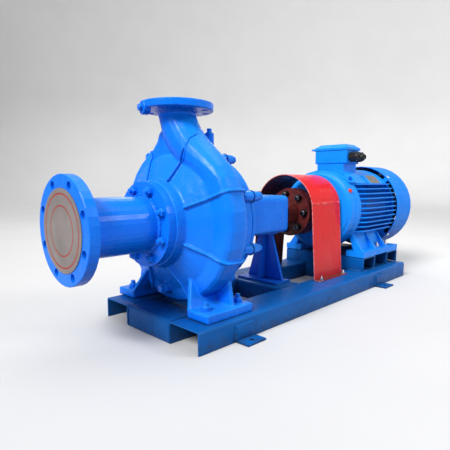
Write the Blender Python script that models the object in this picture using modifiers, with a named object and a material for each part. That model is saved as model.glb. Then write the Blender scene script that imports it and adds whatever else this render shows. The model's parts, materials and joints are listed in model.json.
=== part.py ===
"""Horizontal volute sewage pump set on a welded channel frame.

Suction spool, volute pump, bearing bracket, pin coupling under a sheet guard
and a finned electric motor. Metres, +Z up. +X runs from the suction flange
towards the motor, and the origin is on the floor under the middle of the set.
Lengths along X follow each other from the front end of the frame, so a longer
piece moves everything behind it.
"""

import math

import bmesh
import bpy
from mathutils import Matrix, Vector

# Seats and running gaps
SEAT = 0.0003              # gap between two touching pieces
RUNNING = 0.0003           # gap of a shaft in its bearing
BITE = 0.004               # how far pieces of one casting reach into each other
THROUGH = 0.010            # how far a cutter stands out of what it cuts

# Faceting of round forms
ROUND_STEPS = 40
SHAFT_STEPS = 24
BOSS_STEPS = 12
SHARP_ANGLE = math.radians(30)

# Welded frame
FRAME_WIDTH = 0.453
CHANNEL_WIDTH = 0.124
CHANNEL_HEIGHT = 0.064
CHANNEL_WALL = 0.005
CHANNEL_BEND = 0.009
BEND_STEPS = 4
STAND_MEMBER_SHIFT = 0.021     # from the stand's web forward to its cross member
MOTOR_MEMBER_SHIFT = 0.007     # from the front riser back to its cross member
RISER_OVERHANG = 0.010         # rear riser past the end of the frame

# Anchor brackets
ANCHOR_LENGTH = 0.074
ANCHOR_REACH = 0.047
ANCHOR_RISE = 0.045
ANCHOR_WALL = 0.006
ANCHOR_HOLE_RADIUS = 0.007
ANCHOR_FRONT_INSET = 0.172
ANCHOR_REAR_INSET = 0.264

# Shaft line
SHAFT_OFFSET = 0.0155          # the shaft line stands off the frame's middle line
CASING_CLEARANCE = 0.008       # under the spiral, above the frame

# Suction spool
SPOOL_LENGTH = 0.2583
SUCTION_FLANGE_RADIUS = 0.140
SUCTION_FLANGE_THICKNESS = 0.027
SUCTION_PCD_RADIUS = 0.120
SUCTION_HOLE_RADIUS = 0.0112
FLANGE_EDGE = 0.0015
PIPE_RADIUS = 0.0795
PIPE_WALL = 0.005
WELD_LEG = 0.007
SPOOL_FLANGE_RADIUS = 0.122
SPOOL_FLANGE_THICKNESS = 0.024
COVER_RADIUS = 0.106
COVER_THICKNESS = 0.002
BOLT_COUNT = 8
BOLT_START = math.radians(22.5)

# Volute casing
INLET_SETBACK = 0.0273         # inlet face behind the frame's front end
CASING_LENGTH = 0.2227
INLET_RING_LENGTH = 0.030
INLET_RADIUS = 0.130
INLET_TAPER = 0.005
INLET_BORE_RADIUS = 0.0625
INLET_BORE_DEPTH = 0.070
CONE_DEPTH = 0.033
CREASE_RADIUS = 0.198
CASING_REAR_RADIUS = 0.200
CHANNEL_FACE_DEPTH = 0.006     # channel's flat front face behind the crease
CHANNEL_LENGTH = 0.082
CHANNEL_CORNER = 0.024
CHANNEL_REAR_CORNER = 0.020
CHANNEL_REAR_SLOPE = 0.016     # how far the rear wall leans back to its foot
CHANNEL_DEPTH = 0.045          # how far the channel reaches in below the crease
CHANNEL_CORNER_STEPS = 3
CHANNEL_TURNS = 24
TONGUE_ANGLE = math.radians(28)
NECK_ANGLE = math.radians(302)
TONGUE_RADIUS = 0.238
SPIRAL_GROWTH = 0.018          # from the tongue round to the neck
TONGUE_LUG_ANGLE = math.radians(33)
TONGUE_LUG_REACH = 0.012

# Swan neck and discharge flange
DISCHARGE_SETBACK = 0.1037     # its axis behind the inlet face
DISCHARGE_HEIGHT = 0.350       # its face above the shaft line
DISCHARGE_RADIUS = 0.1085
DISCHARGE_THICKNESS = 0.023
DISCHARGE_PCD_RADIUS = 0.090
DISCHARGE_HOLE_RADIUS = 0.009
NECK_RADIUS = 0.0565
NECK_ROOT_DEPTH = 0.056
NECK_BLEND = 0.45          # share of the neck over which its section becomes round
CASTING_WALL = 0.0085
NECK_LEAVE = 0.085             # how far the neck keeps the spiral's direction
NECK_ARRIVE = 0.105            # how far it stands straight under the flange
NECK_STEPS = 9
NECK_FILLET = 0.010
SHOULDER_EDGE = 0.012
# Outline of the web between tongue and neck, in shares of the tongue's radius
SHOULDER_OUTLINE = (
    (-0.25, 0.63), (0.42, 0.63), (0.44, 0.84), (0.34, 0.94), (0.26, 1.02),
    (0.22, 1.12), (0.10, 1.18), (-0.08, 1.10),
)

# Ears, beads and bosses of the casing
LUG_CIRCLE = 0.205
LUG_RADIUS = 0.018
LUG_DEPTH = 0.034
LUG_TAPER = 0.8
BEAD_RADIUS = 0.004
BOSS_OFFSET = 0.060            # vent boss beside the shaft line
BOSS_REAR_INSET = 0.044        # vent boss ahead of the joint
BOSS_FOOT = 0.165
BOSS_TOP = 0.268
BOSS_RADIUS = 0.0145
PLUG_RADIUS = 0.008
PLUG_RISE = 0.013
DRAIN_DROP = 0.200
DRAIN_RADIUS = 0.020
DRAIN_DEPTH = 0.028            # ahead of the channel's front face

# Pump feet
FOOT_SETBACK = 0.0227          # pad behind the inlet face
FOOT_LENGTH = 0.180
FOOT_INNER = 0.134
FOOT_OUTER = 0.220
FOOT_THICKNESS = 0.025
WEB_WALL = 0.014
WEB_LEAN = 0.042               # web's top nearer to the shaft line, and further back
WEB_RISE = 0.090
FOOT_RIB_SETBACK = {"near": 0.120, "far": 0.085}
FOOT_RIB_BASE = 0.206
FOOT_RIB_TOP = 0.190
FOOT_RIB_RISE = 0.080

# Bearing bracket
BRACKET_LENGTH = 0.346
BRACKET_FLANGE_RADIUS = 0.200
BRACKET_FLANGE_WALL = 0.014
BRACKET_CONE_RADIUS = 0.165
BRACKET_CONE_DEPTH = 0.006
BRACKET_WAIST_RADIUS = 0.105
BRACKET_NOSE_RADIUS = 0.070
BRACKET_BOX_LENGTH = 0.246
BRACKET_BOX_FACE = 0.196       # where the box stands clear of the bell
BRACKET_HALF_WIDTH = 0.082
BRACKET_TOP = 0.072            # above the shaft line
BRACKET_BOTTOM = 0.066         # below the shaft line
BRACKET_CORNER = 0.018
BEARING_COVER_RADIUS = 0.062
BEARING_COVER_WALL = 0.012
CAP_INSET = 0.076
CAP_OFFSET = 0.010
CAP_RADIUS = 0.009
CAP_RISE = 0.014

# Stand under the bracket
STAND_WALL = 0.012
STAND_BASE_HALF_WIDTH = 0.084
STAND_TOP_HALF_WIDTH = 0.029
STAND_SHIFT = 0.008            # the plate's middle off the shaft line
STAND_BASE_WALL = 0.008
STAND_FOOT_FRONT = 0.055
STAND_FOOT_REAR = 0.030
STAND_FOOT_MARGIN = 0.010
STAND_PAD_HALF_LENGTH = 0.028
STAND_PAD_HALF_WIDTH = 0.030
STAND_PAD_WALL = 0.012
STAND_RIB_WALL = 0.010
STAND_RIB_BASE = 0.048
STAND_RIB_TOP = 0.018

# Shafts and pin coupling
SHAFT_RADIUS = 0.021
SHAFT_DEPTH = 0.156            # pump shaft inside the bracket
HUB_GAP = 0.044                # from the bracket to the pump half's hub
HUB_RADIUS = 0.048
HUB_LENGTH = 0.065
HALF_THICKNESS = 0.024
HALF_GAP = 0.004
COUPLING_RADIUS = 0.0966
MOTOR_HALF_THICKNESS = 0.046
MOTOR_HUB_LENGTH = 0.062
MOTOR_HUB_RADIUS = 0.060
PIN_COUNT = 7
PIN_START = math.radians(12.9)
PIN_CIRCLE = 0.0735
PIN_RADIUS = 0.0075
PIN_END = 0.003                # thread standing out of the nut
PIN_DEPTH = 0.026
BUSH_RADIUS = 0.013
BUSH_LENGTH = 0.030
PIN_NUT_RADIUS = 0.0125
PIN_NUT_LENGTH = 0.013
PIN_STEPS = 8

# Coupling guard
GUARD_LEAD = 0.030             # ahead of the pump half's disc
GUARD_LENGTH = 0.203
GUARD_OFFSET = 0.008           # middle of the guard off the shaft line
GUARD_LIFT = 0.014             # middle of its arch above the shaft line
GUARD_CLEARANCE = 0.0404       # between the coupling and the arch
GUARD_WALL = 0.0025
GUARD_SPLAY = 0.018            # feet further out than the arch
GUARD_FOOT = 0.028
GUARD_STEPS = 20

# Motor on its risers
MOTOR_GAP = 0.033              # from the motor half's hub to the front shield
MOTOR_CENTRE_HEIGHT = 0.1994
RISER_WIDTH = 0.110
RISER_HALF_LENGTH = 0.200
RISER_FRONT_INSET = 0.078
RISER_REAR_INSET = 0.037
MOTOR_SHAFT_RADIUS = 0.030
MOTOR_FRAME_LENGTH = 0.346
BARREL_RADIUS = 0.162
FIN_CLEARANCE = 0.0054         # fins inside the centre height
FIN_COUNT = 11
FIN_LOWEST = 0.091             # below the shaft line
FIN_PITCH = 0.0203
FIN_WALL = 0.0045
FIN_LEAD = 0.036
FIN_SLOPE = 0.030              # over which a fin rises from the ring
CROWN_RADIUS = 0.180
CROWN_HALF_ANGLE = math.radians(50)
CROWN_STEPS = 10
CROWN_LEAD = 0.030
RING_LENGTH = 0.040            # smooth ring at the front of the frame
RING_RADIUS = 0.172
PLATE_ANGLE = math.radians(44)
PLATE_BOSS_LENGTH = 0.125
PLATE_BOSS_HALF_WIDTH = 0.030
PLATE_BOSS_RISE = 0.185
PLATE_BOSS_LEAD = 0.160
LIFT_BOSS_RADIUS = 0.018
LIFT_BOSS_RISE = 0.183
LIFT_BOSS_LEAD = 0.020
LIFT_ANGLE = math.radians(38)

# Motor feet
MOTOR_FOOT_OUTER = 0.200
MOTOR_FOOT_INNER = 0.118
MOTOR_FOOT_THICKNESS = 0.025
MOTOR_FOOT_OVERHANG = 0.001
SKIRT_WALL = 0.014
SKIRT_FOOT = 0.150
SKIRT_TOP = 0.118
SKIRT_TOP_DROP = 0.095
LEG_WALL = 0.014
LEG_PLACES = (0.030, 0.149, 0.256)
LEG_OUTER = 0.192
LEG_TOP = 0.140
LEG_TOP_DROP = 0.108

# Motor shields, fan and cowl
SHIELD_DEPTH = 0.070
SHIELD_NOSE_RADIUS = 0.066
SHIELD_DISH_RADIUS = 0.112
SHIELD_SKIRT_RADIUS = 0.154
SHIELD_EDGE_RADIUS = 0.160
SHIELD_RADIUS = 0.168
SHIELD_RIM = 0.034
REAR_SHIELD_RADIUS = 0.176
REAR_SHIELD_RIM = 0.022
REAR_SHIELD_DEPTH = 0.036
REAR_SHIELD_NOSE_RADIUS = 0.070
COWL_GAP = 0.006               # dark gap between motor frame and cowl
COWL_LENGTH = 0.190
COWL_RISE = 0.0009             # cowl above the risers
COWL_WALL = 0.003
COWL_EYE_RADIUS = 0.030
COWL_SHOULDER = 0.030
COWL_LUG_COUNT = 4             # bosses of the rear shield that carry the cowl
COWL_LUG_HALF_WIDTH = 0.010
COWL_LUG_LENGTH = 0.014
COWL_SLOT_COUNT = 12
COWL_SLOT_WIDTH = 0.018
COWL_SLOT_LENGTH = 0.080
COWL_SLOT_CIRCLE = 0.092
FAN_GAP = 0.014                # from the rear shield to the fan
FAN_RADIUS = 0.150
FAN_HUB_RADIUS = 0.050
FAN_DISC = 0.004
FAN_DISH = 0.030
FAN_LENGTH = 0.075
BLADE_COUNT = 8
BLADE_WALL = 0.004

# Terminal box
TERMINAL_SETBACK = 0.064       # behind the front of the motor frame
TERMINAL_LENGTH = 0.116
TERMINAL_HALF_WIDTH = 0.080
TERMINAL_BASE = 0.202          # above the shaft line
TERMINAL_HEIGHT = 0.060
TERMINAL_EDGE = 0.005
PEDESTAL_HALF_WIDTH = 0.066
LID_THICKNESS = 0.010
LID_CROWN = 0.016
LID_MARGIN = 0.003
LID_SLOPE = 0.022
GLAND_RADIUS = 0.021
GLAND_LENGTH = 0.045
GLAND_INSET = 0.032


def outer_radius(angle):
    """Outside radius of the spiral at an angle from the top towards +Y."""
    share = (angle - TONGUE_ANGLE) / (NECK_ANGLE - TONGUE_ANGLE)
    return TONGUE_RADIUS + SPIRAL_GROWTH * share


# Places along X and Z that follow from the dimensions above
SHAFT_HEIGHT = CHANNEL_HEIGHT + CASING_CLEARANCE + outer_radius(math.pi)
INLET_FACE_X = INLET_SETBACK
SUCTION_FACE_X = INLET_FACE_X - SPOOL_LENGTH
INLET_REAR_X = INLET_FACE_X + INLET_RING_LENGTH
CREASE_X = INLET_REAR_X + CONE_DEPTH
CASING_REAR_X = INLET_FACE_X + CASING_LENGTH
CHANNEL_FRONT_X = CREASE_X + CHANNEL_FACE_DEPTH
CHANNEL_REAR_X = CHANNEL_FRONT_X + CHANNEL_LENGTH
DISCHARGE_X = INLET_FACE_X + DISCHARGE_SETBACK
BRACKET_REAR_X = CASING_REAR_X + BRACKET_LENGTH
STAND_X = BRACKET_REAR_X - STAND_PAD_HALF_LENGTH
SHAFT_FRONT_X = BRACKET_REAR_X - SHAFT_DEPTH
HUB_FRONT_X = BRACKET_REAR_X + HUB_GAP
HALF_FACE_X = HUB_FRONT_X + HUB_LENGTH
COUPLING_JOINT_X = HALF_FACE_X + HALF_THICKNESS
MOTOR_FACE_X = COUPLING_JOINT_X + HALF_GAP
MOTOR_HUB_REAR_X = MOTOR_FACE_X + MOTOR_HALF_THICKNESS + MOTOR_HUB_LENGTH
SHIELD_FRONT_X = MOTOR_HUB_REAR_X + MOTOR_GAP
MOTOR_FRONT_X = SHIELD_FRONT_X + SHIELD_DEPTH
MOTOR_REAR_X = MOTOR_FRONT_X + MOTOR_FRAME_LENGTH
FAN_FRONT_X = MOTOR_REAR_X + REAR_SHIELD_DEPTH + FAN_GAP
COWL_FRONT_X = MOTOR_REAR_X + COWL_GAP
COWL_REAR_X = COWL_FRONT_X + COWL_LENGTH
RISER_FRONT_X = MOTOR_FRONT_X + RISER_FRONT_INSET
RISER_REAR_X = MOTOR_REAR_X - RISER_REAR_INSET
FRAME_LENGTH = RISER_REAR_X + RISER_WIDTH / 2 - RISER_OVERHANG
RISER_HEIGHT = SHAFT_HEIGHT - MOTOR_CENTRE_HEIGHT - CHANNEL_HEIGHT - 2 * SEAT
MOTOR_BOTTOM = -MOTOR_CENTRE_HEIGHT
FIN_RADIUS = MOTOR_CENTRE_HEIGHT - FIN_CLEARANCE
COWL_RADIUS = MOTOR_CENTRE_HEIGHT - COWL_RISE
PIPE_BORE_RADIUS = PIPE_RADIUS - PIPE_WALL
SPIRAL_RADIUS = TONGUE_RADIUS + SPIRAL_GROWTH
ROW_SHIFT = -(SUCTION_FACE_X - SEAT - COVER_THICKNESS + COWL_REAR_X) / 2


def clear_scene():
    for old in list(bpy.data.objects):
        bpy.data.objects.remove(old, do_unlink=True)


def new_collection(name):
    collection = bpy.data.collections.new(name)
    bpy.context.scene.collection.children.link(collection)
    return collection


clear_scene()
PARTS = new_collection("sewage_pump")
CUTTERS = new_collection("cutters")


def new_empty(name, location, parent=None):
    empty = bpy.data.objects.new(name, None)
    empty.location = location
    empty.parent = parent
    PARTS.objects.link(empty)
    return empty


SET = new_empty("pump_set", (ROW_SHIFT, 0, 0))
AXIS = new_empty("shaft_line", (0, SHAFT_OFFSET, SHAFT_HEIGHT), SET)
ROTOR = new_empty("rotor_axis", (0, SHAFT_OFFSET, SHAFT_HEIGHT), SET)


def material(name, color, roughness, metallic=0.0):
    """A plain painted or bare surface."""
    made = bpy.data.materials.new(name)
    made.use_nodes = True
    shader = made.node_tree.nodes["Principled BSDF"]
    shader.inputs["Base Color"].default_value = (*color, 1)
    shader.inputs["Roughness"].default_value = roughness
    shader.inputs["Metallic"].default_value = metallic
    return made


PUMP_BLUE = material("pump_blue", (0.012, 0.19, 0.83), 0.35)
FRAME_BLUE = material("frame_blue", (0.01, 0.10, 0.38), 0.45)
GUARD_RED = material("guard_red", (0.75, 0.03, 0.03), 0.4)
COUPLING_BROWN = material("coupling_brown", (0.11, 0.02, 0.02), 0.5)
STEEL = material("bright_steel", (0.55, 0.55, 0.56), 0.35, 1.0)
COVER_GREY = material("cover_grey", (0.3, 0.3, 0.28), 0.6)
BLACK = material("black_plastic", (0.02, 0.02, 0.022), 0.5)


def new_object(name, mesh, surface, parent=AXIS, collection=PARTS):
    made = bpy.data.objects.new(name, mesh)
    if surface is not None:
        mesh.materials.append(surface)
    made.parent = parent
    collection.objects.link(made)
    return made


def guide(made):
    """Turn an object into a cutter or a piece to be joined."""
    for collection in list(made.users_collection):
        collection.objects.unlink(made)
    CUTTERS.objects.link(made)
    made.hide_render = True
    made.display_type = "WIRE"
    return made


def combine(target, piece, operation):
    modifier = target.modifiers.new(operation.lower(), "BOOLEAN")
    modifier.operation = operation
    modifier.solver = "EXACT"
    modifier.object = guide(piece)
    return target


def join(target, *pieces):
    for piece in pieces:
        combine(target, piece, "UNION")
    return target


def cut(target, *pieces):
    for piece in pieces:
        combine(target, piece, "DIFFERENCE")
    return target


def rounded(made, width, segments=2):
    """Round the edges of a piece before it is joined to another."""
    edge = made.modifiers.new("edges", "BEVEL")
    edge.width = width
    edge.segments = segments
    return made


def box(name, low, high, surface=None, parent=AXIS):
    """A block between two corners."""
    mesh = bpy.data.meshes.new(name)
    shape = bmesh.new()
    size = [b - a for a, b in zip(low, high)]
    middle = [(a + b) / 2 for a, b in zip(low, high)]
    bmesh.ops.create_cube(shape, size=1, matrix=Matrix.Diagonal((*size, 1)))
    shape.to_mesh(mesh)
    shape.free()
    made = new_object(name, mesh, surface, parent)
    made.location = middle
    return made


def side_box(name, sign, x, y, z):
    """A block on the near (-1) or far (+1) side, y counted outwards."""
    low, high = sorted((sign * y[0], sign * y[1]))
    return box(name, (x[0], low, z[0]), (x[1], high, z[1]))


def rod(name, radius, start, end, surface=None, parent=AXIS, steps=16, end_radius=None):
    """A round bar or a cone between two points."""
    start, end = Vector(start), Vector(end)
    mesh = bpy.data.meshes.new(name)
    shape = bmesh.new()
    bmesh.ops.create_cone(
        shape, cap_ends=True, segments=steps, radius1=radius,
        radius2=radius if end_radius is None else end_radius, depth=(end - start).length)
    shape.to_mesh(mesh)
    shape.free()
    mesh.shade_smooth()
    mesh.set_sharp_from_angle(angle=SHARP_ANGLE)
    made = new_object(name, mesh, surface, parent)
    made.location = (start + end) / 2
    made.rotation_euler = (end - start).to_track_quat("Z", "Y").to_euler()
    return made


def turned(name, profile, surface=None, parent=AXIS, steps=ROUND_STEPS, closed=False):
    """Turn (x, radius) points about the shaft line.

    The points run from front to rear along the outside. A closed profile
    comes back along the bore.
    """
    mesh = bpy.data.meshes.new(name)
    shape = bmesh.new()
    points = [shape.verts.new((radius, 0, x)) for x, radius in reversed(profile)]
    pairs = list(zip(points, points[1:]))
    if closed:
        pairs.append((points[-1], points[0]))
    for pair in pairs:
        shape.edges.new(pair)
    shape.to_mesh(mesh)
    shape.free()
    made = new_object(name, mesh, surface, parent)
    made.rotation_euler = (0, math.pi / 2, 0)
    screw = made.modifiers.new("turn", "SCREW")
    screw.steps = steps
    screw.render_steps = steps
    screw.use_merge_vertices = True
    screw.merge_threshold = 0.00005
    screw.use_smooth_shade = True
    return made


PLANES = {
    "XY": Matrix(((1, 0, 0), (0, 1, 0), (0, 0, 1))),
    "YZ": Matrix(((0, 0, 1), (1, 0, 0), (0, 1, 0))),
    "XZ": Matrix(((1, 0, 0), (0, 0, -1), (0, 1, 0))),
}


def drawn_mesh(name, curve):
    """The mesh of a curve, cleaned so that it is one closed skin."""
    drawn = bpy.data.objects.new(name + "_outline", curve)
    CUTTERS.objects.link(drawn)
    bpy.context.view_layer.update()
    depsgraph = bpy.context.evaluated_depsgraph_get()
    mesh = bpy.data.meshes.new_from_object(drawn.evaluated_get(depsgraph))
    bpy.data.objects.remove(drawn, do_unlink=True)
    shape = bmesh.new()
    shape.from_mesh(mesh)
    bmesh.ops.remove_doubles(shape, verts=shape.verts, dist=0.00002)
    bmesh.ops.recalc_face_normals(shape, faces=shape.faces)
    shape.to_mesh(mesh)
    shape.free()
    mesh.materials.clear()
    return mesh


def plate(name, plane, outline, thickness, centre, surface=None, parent=AXIS):
    """A flat outline given thickness about the plane through the centre."""
    curve = bpy.data.curves.new(name, "CURVE")
    curve.dimensions = "2D"
    curve.fill_mode = "BOTH"
    curve.extrude = thickness / 2
    spline = curve.splines.new("POLY")
    spline.points.add(len(outline) - 1)
    for point, (u, v) in zip(spline.points, outline):
        point.co = (u, v, 0, 1)
    spline.use_cyclic_u = True
    made = new_object(name, drawn_mesh(name, curve), surface, parent)
    made.location = centre
    made.rotation_euler = PLANES[plane].to_euler()
    return made


def bead(name, points, radius):
    """A raised cast bead along a row of points."""
    curve = bpy.data.curves.new(name, "CURVE")
    curve.dimensions = "3D"
    curve.bevel_depth = radius
    curve.bevel_resolution = 1
    curve.use_fill_caps = True
    spline = curve.splines.new("POLY")
    spline.points.add(len(points) - 1)
    for point, place in zip(spline.points, points):
        point.co = (*place, 1)
    return new_object(name, drawn_mesh(name, curve), None)


def sheet(name, points, length, wall, surface=None, parent=SET):
    """A folded sheet: a centre line in Y and Z, drawn along X and made thick."""
    mesh = bpy.data.meshes.new(name)
    shape = bmesh.new()
    line = [shape.verts.new((-length / 2, y, z)) for y, z in points]
    edges = [shape.edges.new(pair) for pair in zip(line, line[1:])]
    drawn = bmesh.ops.extrude_edge_only(shape, edges=edges)["geom"]
    moved = [item for item in drawn if isinstance(item, bmesh.types.BMVert)]
    bmesh.ops.translate(shape, verts=moved, vec=(length, 0, 0))
    shape.to_mesh(mesh)
    shape.free()
    made = new_object(name, mesh, surface, parent)
    thick = made.modifiers.new("wall", "SOLIDIFY")
    thick.thickness = wall
    thick.offset = 0
    thick.use_even_offset = True
    return made


def arc(centre, radius, start, end, steps):
    """Points on a circle from one angle to another, both ends included."""
    points = []
    for step in range(steps + 1):
        angle = start + (end - start) * step / steps
        points.append((centre[0] + radius * math.cos(angle), centre[1] + radius * math.sin(angle)))
    return points


def loft(name, rings, surface=None, parent=AXIS):
    """Skin a row of closed rings that have the same number of points."""
    mesh = bpy.data.meshes.new(name)
    shape = bmesh.new()
    rows = [[shape.verts.new(point) for point in ring] for ring in rings]
    count = len(rows[0])
    for near, far in zip(rows, rows[1:]):
        for i in range(count):
            j = (i + 1) % count
            shape.faces.new((near[i], near[j], far[j], far[i]))
    shape.faces.new(rows[0])
    shape.faces.new(list(reversed(rows[-1])))
    bmesh.ops.recalc_face_normals(shape, faces=shape.faces)
    shape.to_mesh(mesh)
    shape.free()
    mesh.shade_smooth()
    mesh.set_sharp_from_angle(angle=SHARP_ANGLE)
    return new_object(name, mesh, surface, parent)


def slab(name, low, high):
    """A leaning block with straight sides between a lower and an upper outline."""
    return loft(name, [low, high])


def around(radius, angle, x):
    """A point about the shaft line, the angle taken from the top towards +Y."""
    return (x, radius * math.sin(angle), radius * math.cos(angle))


def bolt_angles(count=BOLT_COUNT, start=BOLT_START):
    return [start + 2 * math.pi * k / count for k in range(count)]


def running_bore(radius, steps):
    """Radius of a faceted bore in which a round shaft turns freely."""
    return (radius + RUNNING) / math.cos(math.pi / steps)


# Welded frame

RAIL_Y = (FRAME_WIDTH - CHANNEL_WIDTH) / 2
INNER_GAP = FRAME_WIDTH - 2 * CHANNEL_WIDTH


def channel(name, length, width, height, location, along="X"):
    """An inverted channel: web on top, flanges down, rounded bends."""
    half = (width - CHANNEL_WALL) / 2
    top = height - CHANNEL_WALL / 2
    bend = CHANNEL_BEND - CHANNEL_WALL / 2
    points = [(-half, 0)]
    points += arc((-half + bend, top - bend), bend, math.pi, math.pi / 2, BEND_STEPS)
    points += arc((half - bend, top - bend), bend, math.pi / 2, 0, BEND_STEPS)
    points += [(half, 0)]
    made = sheet(name, points, length, CHANNEL_WALL, FRAME_BLUE)
    made.location = location
    if along == "Y":
        made.rotation_euler = (0, 0, math.pi / 2)
    return made


def build_frame():
    middle = FRAME_LENGTH / 2
    for side, sign in (("near", -1), ("far", 1)):
        channel("rail_" + side, FRAME_LENGTH, CHANNEL_WIDTH, CHANNEL_HEIGHT,
                (middle, sign * RAIL_Y, 0))
    places = (
        ("front", CHANNEL_WIDTH / 2),
        ("stand", STAND_X - STAND_MEMBER_SHIFT),
        ("motor", RISER_FRONT_X + MOTOR_MEMBER_SHIFT),
        ("rear", FRAME_LENGTH - CHANNEL_WIDTH / 2),
    )
    for name, x in places:
        channel("cross_member_" + name, INNER_GAP - 2 * SEAT, CHANNEL_WIDTH, CHANNEL_HEIGHT,
                (x, 0, 0), "Y")


def build_anchors():
    outer = FRAME_WIDTH / 2 + SEAT
    half = ANCHOR_WALL / 2
    places = (("front", ANCHOR_FRONT_INSET), ("rear", FRAME_LENGTH - ANCHOR_REAR_INSET))
    for side, sign in (("near", -1), ("far", 1)):
        for end, x in places:
            name = "anchor_bracket_%s_%s" % (side, end)
            points = [(outer + half, ANCHOR_RISE), (outer + half, half),
                      (outer + ANCHOR_REACH, half)]
            made = sheet(name, [(sign * y, z) for y, z in points], ANCHOR_LENGTH, ANCHOR_WALL,
                         FRAME_BLUE)
            made.location = (x, 0, 0)
            hole_y = sign * (outer + ANCHOR_WALL + (ANCHOR_REACH - ANCHOR_WALL) / 2)
            hole = rod(name + "_hole", ANCHOR_HOLE_RADIUS, (x, hole_y, -THROUGH),
                       (x, hole_y, ANCHOR_WALL + THROUGH), parent=SET)
            cut(made, hole)


# Suction side

def build_suction_spool():
    front = SUCTION_FACE_X
    back = front + SUCTION_FLANGE_THICKNESS
    seat = INLET_FACE_X - SEAT
    neck = seat - SPOOL_FLANGE_THICKNESS
    spool = turned("suction_spool", [
        (front, SUCTION_FLANGE_RADIUS - FLANGE_EDGE), (front + FLANGE_EDGE, SUCTION_FLANGE_RADIUS),
        (back, SUCTION_FLANGE_RADIUS), (back, PIPE_RADIUS + WELD_LEG),
        (back + WELD_LEG, PIPE_RADIUS), (neck - WELD_LEG, PIPE_RADIUS),
        (neck, PIPE_RADIUS + WELD_LEG), (neck, SPOOL_FLANGE_RADIUS),
        (seat, SPOOL_FLANGE_RADIUS), (seat, PIPE_BORE_RADIUS), (front, PIPE_BORE_RADIUS),
    ], PUMP_BLUE, closed=True)
    for index, angle in enumerate(bolt_angles()):
        hole = rod("suction_hole_%d" % (index + 1), SUCTION_HOLE_RADIUS,
                   around(SUCTION_PCD_RADIUS, angle, front - THROUGH),
                   around(SUCTION_PCD_RADIUS, angle, back + THROUGH), steps=BOSS_STEPS)
        cut(spool, hole)
    turned("suction_cover_disc", [
        (front - SEAT - COVER_THICKNESS, 0), (front - SEAT - COVER_THICKNESS, COVER_RADIUS),
        (front - SEAT, COVER_RADIUS), (front - SEAT, 0),
    ], COVER_GREY)


# Volute casing

def channel_outline(outer):
    """The channel's outside as (x, radius), from its front face to its rear wall."""
    front = (CHANNEL_FRONT_X + CHANNEL_CORNER, outer - CHANNEL_CORNER)
    rear = (CHANNEL_REAR_X - CHANNEL_REAR_CORNER, outer - CHANNEL_REAR_CORNER)
    return (arc(front, CHANNEL_CORNER, math.pi, math.pi / 2, CHANNEL_CORNER_STEPS)
            + arc(rear, CHANNEL_REAR_CORNER, math.pi / 2, 0, CHANNEL_CORNER_STEPS))


def channel_profile(outer):
    """A section of the spiral channel as (x, radius), its long sides halved."""
    inside = CREASE_RADIUS - CHANNEL_DEPTH
    outline = [Vector(point) for point in channel_outline(outer)]
    front, rear = outline[:CHANNEL_CORNER_STEPS + 1], outline[CHANNEL_CORNER_STEPS + 1:]
    crease = Vector((CREASE_X + SEAT, CREASE_RADIUS - BITE / 2))
    foot = Vector((CHANNEL_REAR_X + CHANNEL_REAR_SLOPE, CASING_REAR_RADIUS - BITE))
    inner_front = Vector((CHANNEL_FRONT_X + CHANNEL_CORNER, inside))
    inner_rear = Vector((CHANNEL_REAR_X - CHANNEL_REAR_CORNER, inside))
    return [inner_front, crease, (crease + front[0]) / 2, *front, (front[-1] + rear[0]) / 2,
            *rear, (rear[-1] + foot) / 2, foot, (foot + inner_rear) / 2, inner_rear,
            (inner_rear + inner_front) / 2]


NECK_ROOT = Vector(((CHANNEL_FRONT_X + CHANNEL_REAR_X) / 2, SPIRAL_RADIUS - NECK_ROOT_DEPTH))
NECK_OUTLINE = [point - NECK_ROOT for point in channel_profile(SPIRAL_RADIUS)]
NECK_TOP = Vector((DISCHARGE_X, 0, DISCHARGE_HEIGHT - DISCHARGE_THICKNESS / 2))


def section(centre, outward, share, radius, wall):
    """A ring of the neck, from the channel's section (share 0) to a circle (1)."""
    first = NECK_OUTLINE[0]
    start = math.atan2(first.y, first.x)
    ring = []
    for index, root in enumerate(NECK_OUTLINE):
        angle = start - 2 * math.pi * index / len(NECK_OUTLINE)
        even = Vector((radius * math.cos(angle), radius * math.sin(angle)))
        point = root.lerp(even, share)
        along_x, out = point * (1 - wall / point.length)
        ring.append(centre + outward * out + Vector((along_x, 0, 0)))
    return ring


def neck_ring(t, wall):
    """A section of the swan neck, from the spiral (0) to the flange (1)."""
    start = Vector(around(NECK_ROOT.y, NECK_ANGLE, NECK_ROOT.x))
    leave = Vector((0, math.cos(NECK_ANGLE), -math.sin(NECK_ANGLE)))
    first = start + leave * NECK_LEAVE
    last = NECK_TOP - Vector((0, 0, NECK_ARRIVE))
    s = 1 - t
    centre = start * s**3 + first * 3 * s * s * t + last * 3 * s * t * t + NECK_TOP * t**3
    along = (first - start) * s * s + (last - first) * 2 * s * t + (NECK_TOP - last) * t * t
    outward = Vector((1, 0, 0)).cross(along.normalized())
    return section(centre, outward, min(1, t / NECK_BLEND), NECK_RADIUS, wall)


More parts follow.
